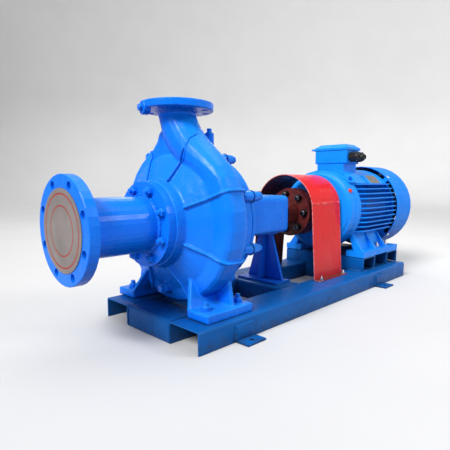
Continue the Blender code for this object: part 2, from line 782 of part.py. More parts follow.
def spiral_and_neck():
    """One skin from the tongue round the spiral, up the neck and under the flange."""
    rings = []
    for k in range(CHANNEL_TURNS):
        angle = TONGUE_ANGLE + (NECK_ANGLE - TONGUE_ANGLE) * k / CHANNEL_TURNS
        profile = channel_profile(outer_radius(angle))
        rings.append([around(radius, angle, x) for x, radius in profile])
    across = Vector((0, -1, 0))
    under = NECK_TOP - Vector((0, 0, DISCHARGE_THICKNESS / 2 + NECK_FILLET))
    lift = Vector((0, 0, NECK_FILLET))
    neck = [neck_ring(k / NECK_STEPS, 0) for k in range(NECK_STEPS + 1)]
    rings += [ring for ring in neck if max(point.z for point in ring) < under.z]
    flared = section(under + lift, across, 1, NECK_RADIUS + NECK_FILLET, 0)
    rings += [section(under, across, 1, NECK_RADIUS, 0), flared]
    rings.append([point + lift / 2 for point in flared])
    return loft("spiral_and_neck", rings)


def discharge_passage():
    """The hollow of the swan neck, out through the flange."""
    rings = [neck_ring(k / NECK_STEPS, CASTING_WALL) for k in range(1, NECK_STEPS + 1)]
    rings.append([point + Vector((0, 0, DISCHARGE_THICKNESS)) for point in rings[-1]])
    return loft("discharge_passage", rings)


def shoulder():
    """The web between the tongue and the neck, its front flush with the channel's."""
    outline = [(TONGUE_RADIUS * y, TONGUE_RADIUS * z) for y, z in SHOULDER_OUTLINE]
    middle = (CHANNEL_FRONT_X + CHANNEL_REAR_X) / 2
    made = plate("shoulder", "YZ", outline, CHANNEL_LENGTH - 2 * SEAT, (middle, 0, 0))
    return rounded(made, SHOULDER_EDGE)


def foot(side, sign):
    """Pad, leaning lengthways web and outer rib of one pump foot."""
    front = INLET_FACE_X + FOOT_SETBACK
    rear = front + FOOT_LENGTH
    bottom = CHANNEL_HEIGHT + SEAT - SHAFT_HEIGHT
    top = bottom + FOOT_THICKNESS
    pad = side_box("pad_" + side, sign, (front, rear), (FOOT_INNER, FOOT_OUTER), (bottom, top))
    base = top - BITE
    crest = top + WEB_RISE

    def ring(x_front, y, z):
        inner, outer = sign * y, sign * (y + WEB_WALL)
        return [(x_front, inner, z), (x_front, outer, z), (rear, outer, z), (rear, inner, z)]

    web = slab("web_" + side, ring(front, FOOT_INNER, base),
               ring(front + WEB_LEAN, FOOT_INNER - WEB_LEAN, crest))
    rib_x = front + FOOT_RIB_SETBACK[side] - WEB_WALL / 2
    rib = plate("rib_" + side, "YZ", [
        (sign * FOOT_INNER, base), (sign * FOOT_RIB_BASE, base),
        (sign * FOOT_RIB_TOP, base + FOOT_RIB_RISE),
        (sign * (FOOT_INNER - WEB_LEAN), base + FOOT_RIB_RISE),
    ], WEB_WALL, (rib_x, 0, 0))
    return pad, web, rib


def lug_points(angle, front, rear):
    return around(LUG_CIRCLE, angle, front), around(LUG_CIRCLE, angle, rear)


def casing_beads():
    """Raised beads over the cone, and on over the channel where there is one."""
    for index, angle in enumerate(bolt_angles()):
        points = [(INLET_REAR_X - BITE, INLET_RADIUS - BITE), (CREASE_X, CREASE_RADIUS)]
        if TONGUE_ANGLE < angle < NECK_ANGLE:
            points += channel_outline(outer_radius(angle))
            points.append((CASING_REAR_X - LUG_DEPTH + BITE, LUG_CIRCLE))
        else:
            points.append((CHANNEL_FRONT_X, CREASE_RADIUS + BEAD_RADIUS))
        yield bead("bead_%d" % index, [around(radius, angle, x) for x, radius in points],
                   BEAD_RADIUS)


def build_volute():
    rear = CASING_REAR_X - SEAT
    casing = turned("volute_casing", [
        (INLET_FACE_X, 0), (INLET_FACE_X, INLET_RADIUS - INLET_TAPER),
        (INLET_REAR_X, INLET_RADIUS), (CREASE_X, CREASE_RADIUS),
        (CHANNEL_FRONT_X + CHANNEL_FACE_DEPTH, CASING_REAR_RADIUS),
        (rear, CASING_REAR_RADIUS), (rear, 0),
    ], PUMP_BLUE)
    join(casing, spiral_and_neck(), shoulder())
    for side, sign in (("near", -1), ("far", 1)):
        join(casing, *foot(side, sign))
    top = DISCHARGE_HEIGHT
    join(casing, rod("discharge_flange", DISCHARGE_RADIUS,
                     (DISCHARGE_X, 0, top - DISCHARGE_THICKNESS), (DISCHARGE_X, 0, top),
                     steps=ROUND_STEPS))
    for index, angle in enumerate(bolt_angles()):
        low, high = lug_points(angle, rear - LUG_DEPTH, rear - SEAT)
        join(casing, rod("casing_lug_%d" % index, LUG_RADIUS * LUG_TAPER, low, high,
                         end_radius=LUG_RADIUS, steps=BOSS_STEPS))
    tongue_lug = TONGUE_RADIUS + TONGUE_LUG_REACH - LUG_RADIUS
    join(casing, rod("tongue_lug", LUG_RADIUS,
                     around(tongue_lug, TONGUE_LUG_ANGLE, CHANNEL_FRONT_X + LUG_DEPTH / 2),
                     around(tongue_lug, TONGUE_LUG_ANGLE, CHANNEL_REAR_X - BITE),
                     steps=BOSS_STEPS))
    boss_x = CASING_REAR_X - BOSS_REAR_INSET
    join(casing,
         rod("vent_boss", BOSS_RADIUS, (boss_x, -BOSS_OFFSET, BOSS_FOOT),
             (boss_x, -BOSS_OFFSET, BOSS_TOP), steps=BOSS_STEPS),
         rod("vent_plug", PLUG_RADIUS, (boss_x, -BOSS_OFFSET, BOSS_TOP - BITE),
             (boss_x, -BOSS_OFFSET, BOSS_TOP + PLUG_RISE), steps=PIN_STEPS),
         rod("drain_boss", DRAIN_RADIUS, (CHANNEL_FRONT_X + DRAIN_DEPTH, 0, -DRAIN_DROP),
             (CHANNEL_FRONT_X - DRAIN_DEPTH, 0, -DRAIN_DROP), steps=BOSS_STEPS,
             end_radius=DRAIN_RADIUS * LUG_TAPER))
    join(casing, *casing_beads())
    cut(casing, discharge_passage())
    cut(casing, rod("suction_bore", INLET_BORE_RADIUS, (INLET_FACE_X - THROUGH, 0, 0),
                    (INLET_FACE_X + INLET_BORE_DEPTH, 0, 0), steps=SHAFT_STEPS))
    for index, angle in enumerate(bolt_angles()):
        place = Vector((DISCHARGE_X + DISCHARGE_PCD_RADIUS * math.cos(angle),
                        DISCHARGE_PCD_RADIUS * math.sin(angle), top))
        hole = rod("discharge_hole_%d" % index, DISCHARGE_HOLE_RADIUS,
                   place + Vector((0, 0, THROUGH)),
                   place - Vector((0, 0, DISCHARGE_THICKNESS + THROUGH)), steps=PIN_STEPS)
        cut(casing, hole)


# Bearing bracket and its stand

def build_bracket():
    front = CASING_REAR_X
    disc_rear = front + BRACKET_FLANGE_WALL
    box_front = BRACKET_REAR_X - BRACKET_BOX_FACE
    bracket = turned("bearing_bracket", [
        (front, 0), (front, BRACKET_FLANGE_RADIUS), (disc_rear, BRACKET_FLANGE_RADIUS),
        (disc_rear + BRACKET_CONE_DEPTH, BRACKET_CONE_RADIUS),
        (box_front - BRACKET_BOX_LENGTH + BRACKET_BOX_FACE, BRACKET_WAIST_RADIUS),
        (box_front, BRACKET_NOSE_RADIUS), (box_front, 0),
    ], PUMP_BLUE)
    body = box("bracket_body", (BRACKET_REAR_X - BRACKET_BOX_LENGTH, -BRACKET_HALF_WIDTH,
                                -BRACKET_BOTTOM),
               (BRACKET_REAR_X, BRACKET_HALF_WIDTH, BRACKET_TOP))
    join(bracket, rounded(body, BRACKET_CORNER, 3))
    for index, angle in enumerate(bolt_angles()):
        low, high = lug_points(angle, front, front + LUG_DEPTH)
        join(bracket, rod("bracket_lug_%d" % index, LUG_RADIUS, low, high,
                          end_radius=LUG_RADIUS * LUG_TAPER, steps=BOSS_STEPS))
    cut(bracket, rod("bracket_bore", running_bore(SHAFT_RADIUS, SHAFT_STEPS),
                     (SHAFT_FRONT_X - RUNNING, 0, 0), (BRACKET_REAR_X + THROUGH, 0, 0),
                     steps=SHAFT_STEPS))
    cover_front = BRACKET_REAR_X + SEAT
    cover_rear = cover_front + BEARING_COVER_WALL
    bore = running_bore(SHAFT_RADIUS, ROUND_STEPS)
    turned("bearing_cover", [
        (cover_front, BEARING_COVER_RADIUS), (cover_rear, BEARING_COVER_RADIUS),
        (cover_rear, bore), (cover_front, bore),
    ], PUMP_BLUE, closed=True)
    cap_x = BRACKET_REAR_X - CAP_INSET
    rod("grease_cap", CAP_RADIUS, (cap_x, CAP_OFFSET, BRACKET_TOP + SEAT),
        (cap_x, CAP_OFFSET, BRACKET_TOP + CAP_RISE), STEEL, steps=BOSS_STEPS)


def build_stand():
    base = CHANNEL_HEIGHT + SEAT - SHAFT_HEIGHT
    base_top = base + STAND_BASE_WALL
    pad_top = -BRACKET_BOTTOM - SEAT
    low = base_top - BITE / 2
    high = pad_top - STAND_PAD_WALL / 2
    x = STAND_X
    stand = plate("bracket_stand", "YZ", [
        (STAND_SHIFT - STAND_BASE_HALF_WIDTH, low), (STAND_SHIFT + STAND_BASE_HALF_WIDTH, low),
        (STAND_SHIFT + STAND_TOP_HALF_WIDTH, high), (STAND_SHIFT - STAND_TOP_HALF_WIDTH, high),
    ], STAND_WALL, (x, 0, 0), PUMP_BLUE)
    half_foot = STAND_BASE_HALF_WIDTH + STAND_FOOT_MARGIN
    foot_plate = box("stand_foot", (x - STAND_FOOT_FRONT, STAND_SHIFT - half_foot, base),
                     (x + STAND_FOOT_REAR, STAND_SHIFT + half_foot, base_top))
    pad = box("stand_pad", (x - STAND_PAD_HALF_LENGTH, STAND_SHIFT - STAND_PAD_HALF_WIDTH,
                            pad_top - STAND_PAD_WALL),
              (x + STAND_PAD_HALF_LENGTH, STAND_SHIFT + STAND_PAD_HALF_WIDTH, pad_top))
    rib = plate("stand_rib", "XZ", [
        (x - STAND_RIB_BASE, low), (x, low), (x, high), (x - STAND_RIB_TOP, high),
    ], STAND_RIB_WALL, (0, STAND_SHIFT, 0))
    join(stand, foot_plate, pad, rib)


# Rotor: shafts, coupling halves, pins and fan

def build_pins(pump_half, motor_half):
    nut_rear = HALF_FACE_X - SEAT
    nut_front = nut_rear - PIN_NUT_LENGTH
    bush_front = MOTOR_FACE_X + SEAT
    bush_rear = MOTOR_FACE_X + BUSH_LENGTH
    for index, angle in enumerate(bolt_angles(PIN_COUNT, PIN_START)):
        name = "coupling_pin_%d" % (index + 1)

        def span(start, end):
            return around(PIN_CIRCLE, angle, start), around(PIN_CIRCLE, angle, end)

        pin = rod(name, PIN_NUT_RADIUS, *span(nut_front, nut_rear), STEEL, ROTOR, steps=6)
        shank = rod(name + "_shank", PIN_RADIUS,
                    *span(nut_front - PIN_END, MOTOR_FACE_X + PIN_DEPTH),
                    parent=ROTOR, steps=PIN_STEPS)
        bush = rod(name + "_bush", BUSH_RADIUS, *span(bush_front, bush_rear), parent=ROTOR,
                   steps=PIN_STEPS)
        join(pin, shank, bush)
        cut(pump_half, rod(name + "_hole", PIN_RADIUS + SEAT,
                           *span(HALF_FACE_X - THROUGH, COUPLING_JOINT_X + THROUGH),
                           parent=ROTOR, steps=PIN_STEPS))
        cut(motor_half, rod(name + "_socket", BUSH_RADIUS + SEAT,
                            *span(MOTOR_FACE_X - THROUGH, bush_rear + SEAT),
                            parent=ROTOR, steps=PIN_STEPS))


def build_coupling():
    rod("pump_shaft", SHAFT_RADIUS, (SHAFT_FRONT_X, 0, 0), (HUB_FRONT_X - SEAT, 0, 0), STEEL, ROTOR,
        steps=SHAFT_STEPS)
    pump_half = turned("coupling_pump_half", [
        (HUB_FRONT_X, 0), (HUB_FRONT_X, HUB_RADIUS), (HALF_FACE_X, HUB_RADIUS),
        (HALF_FACE_X, COUPLING_RADIUS), (COUPLING_JOINT_X, COUPLING_RADIUS),
        (COUPLING_JOINT_X, 0),
    ], COUPLING_BROWN, ROTOR)
    disc_rear = MOTOR_FACE_X + MOTOR_HALF_THICKNESS
    motor_half = turned("coupling_motor_half", [
        (MOTOR_FACE_X, 0), (MOTOR_FACE_X, COUPLING_RADIUS), (disc_rear, COUPLING_RADIUS),
        (disc_rear, MOTOR_HUB_RADIUS), (MOTOR_HUB_REAR_X, MOTOR_HUB_RADIUS),
        (MOTOR_HUB_REAR_X, 0),
    ], COUPLING_BROWN, ROTOR)
    build_pins(pump_half, motor_half)
    rod("motor_shaft", MOTOR_SHAFT_RADIUS, (MOTOR_HUB_REAR_X + SEAT, 0, 0),
        (FAN_FRONT_X - SEAT, 0, 0), STEEL, ROTOR, steps=SHAFT_STEPS)


def build_fan():
    """A shaft-mounted fan: dished disc, long hub and straight blades behind."""
    front = FAN_FRONT_X
    rear = front + FAN_LENGTH
    disc = front + FAN_DISH
    fan = turned("motor_fan", [
        (front, 0), (front, FAN_HUB_RADIUS), (front + FAN_DISH * 2 / 3, FAN_HUB_RADIUS + BITE),
        (disc, FAN_RADIUS), (disc + FAN_DISC, FAN_RADIUS),
        (disc + FAN_DISC, FAN_HUB_RADIUS - BITE), (rear, FAN_HUB_RADIUS - 2 * BITE), (rear, 0),
    ], BLACK, ROTOR, steps=32)
    blade_start = disc + FAN_DISC / 2
    blade_end = rear - BITE
    blade_inner = FAN_HUB_RADIUS - 3 * BITE
    blade_outer = FAN_RADIUS - BITE
    for index in range(BLADE_COUNT):
        angle = 2 * math.pi * index / BLADE_COUNT
        blade = box("fan_blade_%d" % index, (blade_start, -BLADE_WALL / 2, blade_inner),
                    (blade_end, BLADE_WALL / 2, blade_outer), parent=ROTOR)
        blade.location = around((blade_inner + blade_outer) / 2, angle, (blade_start + blade_end) / 2)
        blade.rotation_euler = (-angle, 0, 0)
        join(fan, blade)


# Coupling guard

def build_guard():
    """A bent strap: arch on top, legs splayed to the rails, feet turned out."""
    arch_z = SHAFT_HEIGHT + GUARD_LIFT
    foot_z = CHANNEL_HEIGHT + SEAT + GUARD_WALL / 2
    middle = SHAFT_OFFSET + GUARD_OFFSET
    radius = COUPLING_RADIUS + GUARD_CLEARANCE - GUARD_WALL / 2
    foot_y = radius + GUARD_SPLAY
    points = [(middle + foot_y + GUARD_FOOT, foot_z), (middle + foot_y, foot_z)]
    points += [(middle + y, arch_z + z) for y, z in arc((0, 0), radius, 0, math.pi, GUARD_STEPS)]
    points += [(middle - foot_y, foot_z), (middle - foot_y - GUARD_FOOT, foot_z)]
    guard = sheet("coupling_guard", points, GUARD_LENGTH, GUARD_WALL, GUARD_RED)
    guard.location = (HALF_FACE_X - GUARD_LEAD + GUARD_LENGTH / 2, 0, 0)


# Motor

def build_risers():
    for end, x in (("front", RISER_FRONT_X), ("rear", RISER_REAR_X)):
        channel("motor_riser_" + end, 2 * RISER_HALF_LENGTH, RISER_WIDTH, RISER_HEIGHT,
                (x, SHAFT_OFFSET, CHANNEL_HEIGHT + SEAT), "Y")


def crown():
    """The smooth sector over the top of the barrel."""
    start = math.pi / 2 + CROWN_HALF_ANGLE
    outline = arc((0, 0), CROWN_RADIUS, math.pi - start, start, CROWN_STEPS)
    front = MOTOR_FRONT_X + CROWN_LEAD
    rear = MOTOR_REAR_X - BITE
    return plate("crown", "YZ", outline, rear - front, ((front + rear) / 2, 0, 0))


def motor_foot(side, sign):
    """One foot bar with its skirt up to the barrel and three ribs."""
    front = RISER_FRONT_X - RISER_WIDTH / 2 - MOTOR_FOOT_OVERHANG
    rear = RISER_REAR_X + RISER_WIDTH / 2 + MOTOR_FOOT_OVERHANG
    top = MOTOR_BOTTOM + MOTOR_FOOT_THICKNESS
    base = top - BITE
    bar = side_box("motor_bar_" + side, sign, (front, rear),
                   (MOTOR_FOOT_INNER, MOTOR_FOOT_OUTER), (MOTOR_BOTTOM, top))
    skirt_front = MOTOR_FRONT_X + LEG_PLACES[0]
    skirt_rear = MOTOR_FRONT_X + LEG_PLACES[-1] + LEG_WALL

    def ring(y, z):
        inner, outer = sign * y, sign * (y + SKIRT_WALL)
        return [(skirt_front, inner, z), (skirt_front, outer, z), (skirt_rear, outer, z),
                (skirt_rear, inner, z)]

    skirt = slab("motor_skirt_" + side, ring(SKIRT_FOOT, base), ring(SKIRT_TOP, -SKIRT_TOP_DROP))
    legs = []
    for index, place in enumerate(LEG_PLACES):
        outline = [(SKIRT_TOP, -SKIRT_TOP_DROP), (SKIRT_FOOT, base), (LEG_OUTER, base),
                   (LEG_TOP, -LEG_TOP_DROP)]
        x = MOTOR_FRONT_X + place + LEG_WALL / 2
        legs.append(plate("motor_leg_%s_%d" % (side, index), "YZ",
                          [(sign * y, z) for y, z in outline], LEG_WALL, (x, 0, 0)))
    return [bar, skirt] + legs


def build_motor_frame():
    front, rear = MOTOR_FRONT_X, MOTOR_REAR_X
    frame = turned("motor_frame", [
        (front, 0), (front, RING_RADIUS), (front + RING_LENGTH, RING_RADIUS),
        (front + RING_LENGTH + BITE, BARREL_RADIUS), (rear, BARREL_RADIUS), (rear, 0),
    ], PUMP_BLUE)
    for k in range(FIN_COUNT):
        z = k * FIN_PITCH - FIN_LOWEST
        tip = math.sqrt(FIN_RADIUS**2 - z * z)
        root = math.sqrt((RING_RADIUS - BITE)**2 - z * z)
        start = front + FIN_LEAD
        end = rear - BITE / 2
        join(frame, plate("side_fin_%d" % k, "XY", [
            (start, -root), (start + FIN_SLOPE, -tip), (end, -tip),
            (end, tip), (start + FIN_SLOPE, tip), (start, root),
        ], FIN_WALL, (0, 0, z)))
    join(frame, crown())
    plate_x = front + PLATE_BOSS_LEAD
    boss = box("plate_boss", (0, -PLATE_BOSS_HALF_WIDTH, BARREL_RADIUS),
               (PLATE_BOSS_LENGTH, PLATE_BOSS_HALF_WIDTH, PLATE_BOSS_RISE))
    boss.location = around((BARREL_RADIUS + PLATE_BOSS_RISE) / 2, -PLATE_ANGLE,
                           plate_x + PLATE_BOSS_LENGTH / 2)
    boss.rotation_euler = (PLATE_ANGLE, 0, 0)
    lift_x = front + LIFT_BOSS_LEAD
    lift = rod("lift_boss", LIFT_BOSS_RADIUS, around(BARREL_RADIUS, -LIFT_ANGLE, lift_x),
               around(LIFT_BOSS_RISE, -LIFT_ANGLE, lift_x), steps=BOSS_STEPS,
               end_radius=LIFT_BOSS_RADIUS * LUG_TAPER)
    pedestal = box("terminal_pedestal", (front + TERMINAL_SETBACK, -PEDESTAL_HALF_WIDTH, 0),
                   (front + TERMINAL_SETBACK + TERMINAL_LENGTH, PEDESTAL_HALF_WIDTH,
                    TERMINAL_BASE - SEAT))
    join(frame, boss, lift, pedestal)
    for side, sign in (("near", -1), ("far", 1)):
        join(frame, *motor_foot(side, sign))
    cut(frame, rod("motor_bore", running_bore(MOTOR_SHAFT_RADIUS, SHAFT_STEPS),
                   (front - THROUGH, 0, 0), (rear + THROUGH, 0, 0), steps=SHAFT_STEPS))


def build_shields():
    bore = running_bore(MOTOR_SHAFT_RADIUS, ROUND_STEPS)
    front = SHIELD_FRONT_X
    seat = MOTOR_FRONT_X - SEAT
    turned("motor_front_shield", [
        (front, SHIELD_NOSE_RADIUS), (front + 3 * BITE, SHIELD_NOSE_RADIUS + BITE),
        (front + 5 * BITE, SHIELD_DISH_RADIUS), (front + 6 * BITE, SHIELD_SKIRT_RADIUS),
        (front + 8 * BITE, SHIELD_EDGE_RADIUS), (seat - SHIELD_RIM, SHIELD_RADIUS),
        (seat, SHIELD_RADIUS + BITE / 2), (seat, bore), (front, bore),
    ], PUMP_BLUE, closed=True)
    seat = MOTOR_REAR_X + SEAT
    rim = seat + REAR_SHIELD_RIM
    nose = MOTOR_REAR_X + REAR_SHIELD_DEPTH
    shield = turned("motor_rear_shield", [
        (seat, bore), (seat, REAR_SHIELD_RADIUS), (rim, REAR_SHIELD_RADIUS),
        (nose - BITE, REAR_SHIELD_NOSE_RADIUS + 10 * BITE), (nose, REAR_SHIELD_NOSE_RADIUS),
        (nose, bore),
    ], PUMP_BLUE, closed=True)
    inside = (COWL_RADIUS - COWL_WALL) * math.cos(math.pi / ROUND_STEPS) - SEAT
    reach = math.sqrt(inside**2 - COWL_LUG_HALF_WIDTH**2)
    root = REAR_SHIELD_RADIUS - 4 * BITE
    lug_x = COWL_FRONT_X + SEAT + COWL_LUG_LENGTH / 2
    for index in range(COWL_LUG_COUNT):
        angle = math.pi / 4 + 2 * math.pi * index / COWL_LUG_COUNT
        lug = box("cowl_lug_%d" % index, (0, -COWL_LUG_HALF_WIDTH, root),
                  (COWL_LUG_LENGTH, COWL_LUG_HALF_WIDTH, reach))
        lug.location = around((root + reach) / 2, angle, lug_x)
        lug.rotation_euler = (-angle, 0, 0)
        join(shield, lug)


def build_cowl():
    front, rear = COWL_FRONT_X, COWL_REAR_X
    wall = COWL_WALL
    bend = rear - COWL_SHOULDER
    face = COWL_RADIUS - COWL_SHOULDER
    step = COWL_SHOULDER * 0.3
    cowl = turned("fan_cowl", [
        (front, COWL_RADIUS), (bend, COWL_RADIUS), (rear - step, COWL_RADIUS - step),
        (rear, face), (rear, COWL_EYE_RADIUS), (rear - wall, COWL_EYE_RADIUS),
        (rear - wall, face), (rear - step - wall, COWL_RADIUS - step - wall),
        (bend - wall / 2, COWL_RADIUS - wall), (front, COWL_RADIUS - wall),
    ], PUMP_BLUE, closed=True)
    for index in range(COWL_SLOT_COUNT):
        angle = 2 * math.pi * index / COWL_SLOT_COUNT
        slot = box("cowl_slot_%d" % index, (0, 0, 0),
                   (2 * THROUGH, COWL_SLOT_WIDTH, COWL_SLOT_LENGTH))
        slot.location = around(COWL_SLOT_CIRCLE, angle, rear)
        slot.rotation_euler = (-angle, 0, 0)
        cut(cowl, slot)


def build_terminal_box():
    front = MOTOR_FRONT_X + TERMINAL_SETBACK
    rear = front + TERMINAL_LENGTH
    top = TERMINAL_BASE + TERMINAL_HEIGHT
    body = box("terminal_box", (front, -TERMINAL_HALF_WIDTH, TERMINAL_BASE),
               (rear, TERMINAL_HALF_WIDTH, top), PUMP_BLUE)
    rounded(body, TERMINAL_EDGE)
    half = TERMINAL_HALF_WIDTH + LID_MARGIN

    def ring(inset, z):
        return [(front - LID_MARGIN + inset, inset - half, z),
                (rear + LID_MARGIN - inset, inset - half, z),
                (rear + LID_MARGIN - inset, half - inset, z),
                (front - LID_MARGIN + inset, half - inset, z)]

    base = top + SEAT
    loft("terminal_box_lid", [ring(0, base), ring(0, base + LID_THICKNESS),
                              ring(LID_SLOPE, base + LID_THICKNESS + LID_CROWN)], PUMP_BLUE)
    gland_z = TERMINAL_BASE + TERMINAL_HEIGHT / 2
    start = -TERMINAL_HALF_WIDTH - SEAT
    for index, x in enumerate((front + GLAND_INSET, rear - GLAND_INSET)):
        rod("cable_gland_%d" % (index + 1), GLAND_RADIUS, (x, start, gland_z),
            (x, start - GLAND_LENGTH, gland_z), BLACK, steps=BOSS_STEPS)


build_frame()
build_anchors()
build_suction_spool()
build_volute()
build_bracket()
build_stand()
build_coupling()
build_fan()
build_guard()
build_risers()
build_motor_frame()
build_shields()
build_cowl()
build_terminal_box()
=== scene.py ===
"""The sewage pump set dressed for a picture: paint, castings, fasteners, welds and light.

Names that end in _X count from the front end of the welded frame. Radii, circles and
angles are about the shaft line, and an angle runs from the top towards the far side.
A profile is a row of (height, radius) points that is turned about an axis.
"""

import json
import math

import bmesh
import bpy
from mathutils import Matrix, Vector


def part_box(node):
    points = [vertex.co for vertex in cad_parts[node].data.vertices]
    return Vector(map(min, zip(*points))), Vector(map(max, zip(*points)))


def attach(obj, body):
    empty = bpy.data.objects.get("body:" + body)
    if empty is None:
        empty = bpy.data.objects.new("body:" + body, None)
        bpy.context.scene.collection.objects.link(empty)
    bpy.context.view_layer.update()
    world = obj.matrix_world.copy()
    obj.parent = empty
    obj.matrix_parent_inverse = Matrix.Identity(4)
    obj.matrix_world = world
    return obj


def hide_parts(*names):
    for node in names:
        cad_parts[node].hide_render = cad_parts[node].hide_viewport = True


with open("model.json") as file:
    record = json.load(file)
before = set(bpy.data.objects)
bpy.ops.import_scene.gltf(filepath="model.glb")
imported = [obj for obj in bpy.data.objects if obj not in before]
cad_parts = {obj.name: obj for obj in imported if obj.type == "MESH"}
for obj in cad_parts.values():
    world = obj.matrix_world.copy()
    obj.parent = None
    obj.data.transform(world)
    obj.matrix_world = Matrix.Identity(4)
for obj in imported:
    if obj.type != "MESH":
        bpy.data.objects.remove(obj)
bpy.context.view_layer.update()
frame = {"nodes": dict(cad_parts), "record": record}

FRONT_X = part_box("rail_near")[0][0]    # that front end, in the row's frame
SHAFT = frame["record"]["behaviour"]["joints"][0]["pos_m"]
SHAFT_Y = SHAFT[1]
SHAFT_Z = SHAFT[2]
EIGHT_ANGLES = [math.radians(22.5 + 45 * k) for k in range(8)]
SET, ROTOR = "pump_set", "rotor"


def low(node, axis):
    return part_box(node)[0]["xyz".index(axis)]


def high(node, axis):
    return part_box(node)[1]["xyz".index(axis)]


def around(x, radius, angle):
    """A point about the shaft line."""
    return Vector((x, SHAFT_Y + radius * math.sin(angle), SHAFT_Z + radius * math.cos(angle)))


def outwards(angle):
    """The way out from the shaft line at an angle."""
    return around(0, 1, angle) - around(0, 0, angle)


def put_in_scene(name, data):
    made = bpy.data.objects.new(name, data)
    bpy.context.scene.collection.objects.link(made)
    return made


# Camera: fitted to the frame, the flanges and the shaft line of the photograph

CAMERA_AHEAD = 0.66064             # in front of the welded frame
CAMERA_SIDE = -0.97467
CAMERA_HEIGHT = 0.44277
CAMERA_YAW = math.radians(44.54)
CAMERA_DOWN = math.radians(7.08)
CAMERA_ROLL = math.radians(0.19)
LENS = 32.894
SENSOR = 36.0
SHIFT = (-0.00484, 0.0162)


def build_camera():
    camera = bpy.data.cameras.new("camera")
    camera.lens = LENS
    camera.sensor_width = SENSOR
    camera.shift_x, camera.shift_y = SHIFT
    ahead = Vector((math.cos(CAMERA_YAW) * math.cos(CAMERA_DOWN),
                    math.sin(CAMERA_YAW) * math.cos(CAMERA_DOWN), -math.sin(CAMERA_DOWN)))
    level = Vector((math.sin(CAMERA_YAW), -math.cos(CAMERA_YAW), 0))
    right = level * math.cos(CAMERA_ROLL) + level.cross(ahead) * math.sin(CAMERA_ROLL)
    up = right.cross(ahead)
    turn = Matrix((right, up, -ahead)).transposed()
    place = Vector((FRONT_X - CAMERA_AHEAD, CAMERA_SIDE, CAMERA_HEIGHT))
    made = put_in_scene("camera", camera)
    made.matrix_world = Matrix.Translation(place) @ turn.to_4x4()
    bpy.context.scene.camera = made


# Materials

MIX_FIRST, MIX_SECOND, MIX_COLOUR = 6, 7, 2     # the colour sockets of Blender's mix node
COAT_ROUGHNESS = 0.12
RECESS_SAMPLES = 4
OPEN_FACE, DEEP_CORNER = 0.75, 0.2              # how much of the surroundings reaches them
ACROSS_SHAFT = (0, 1, 1)


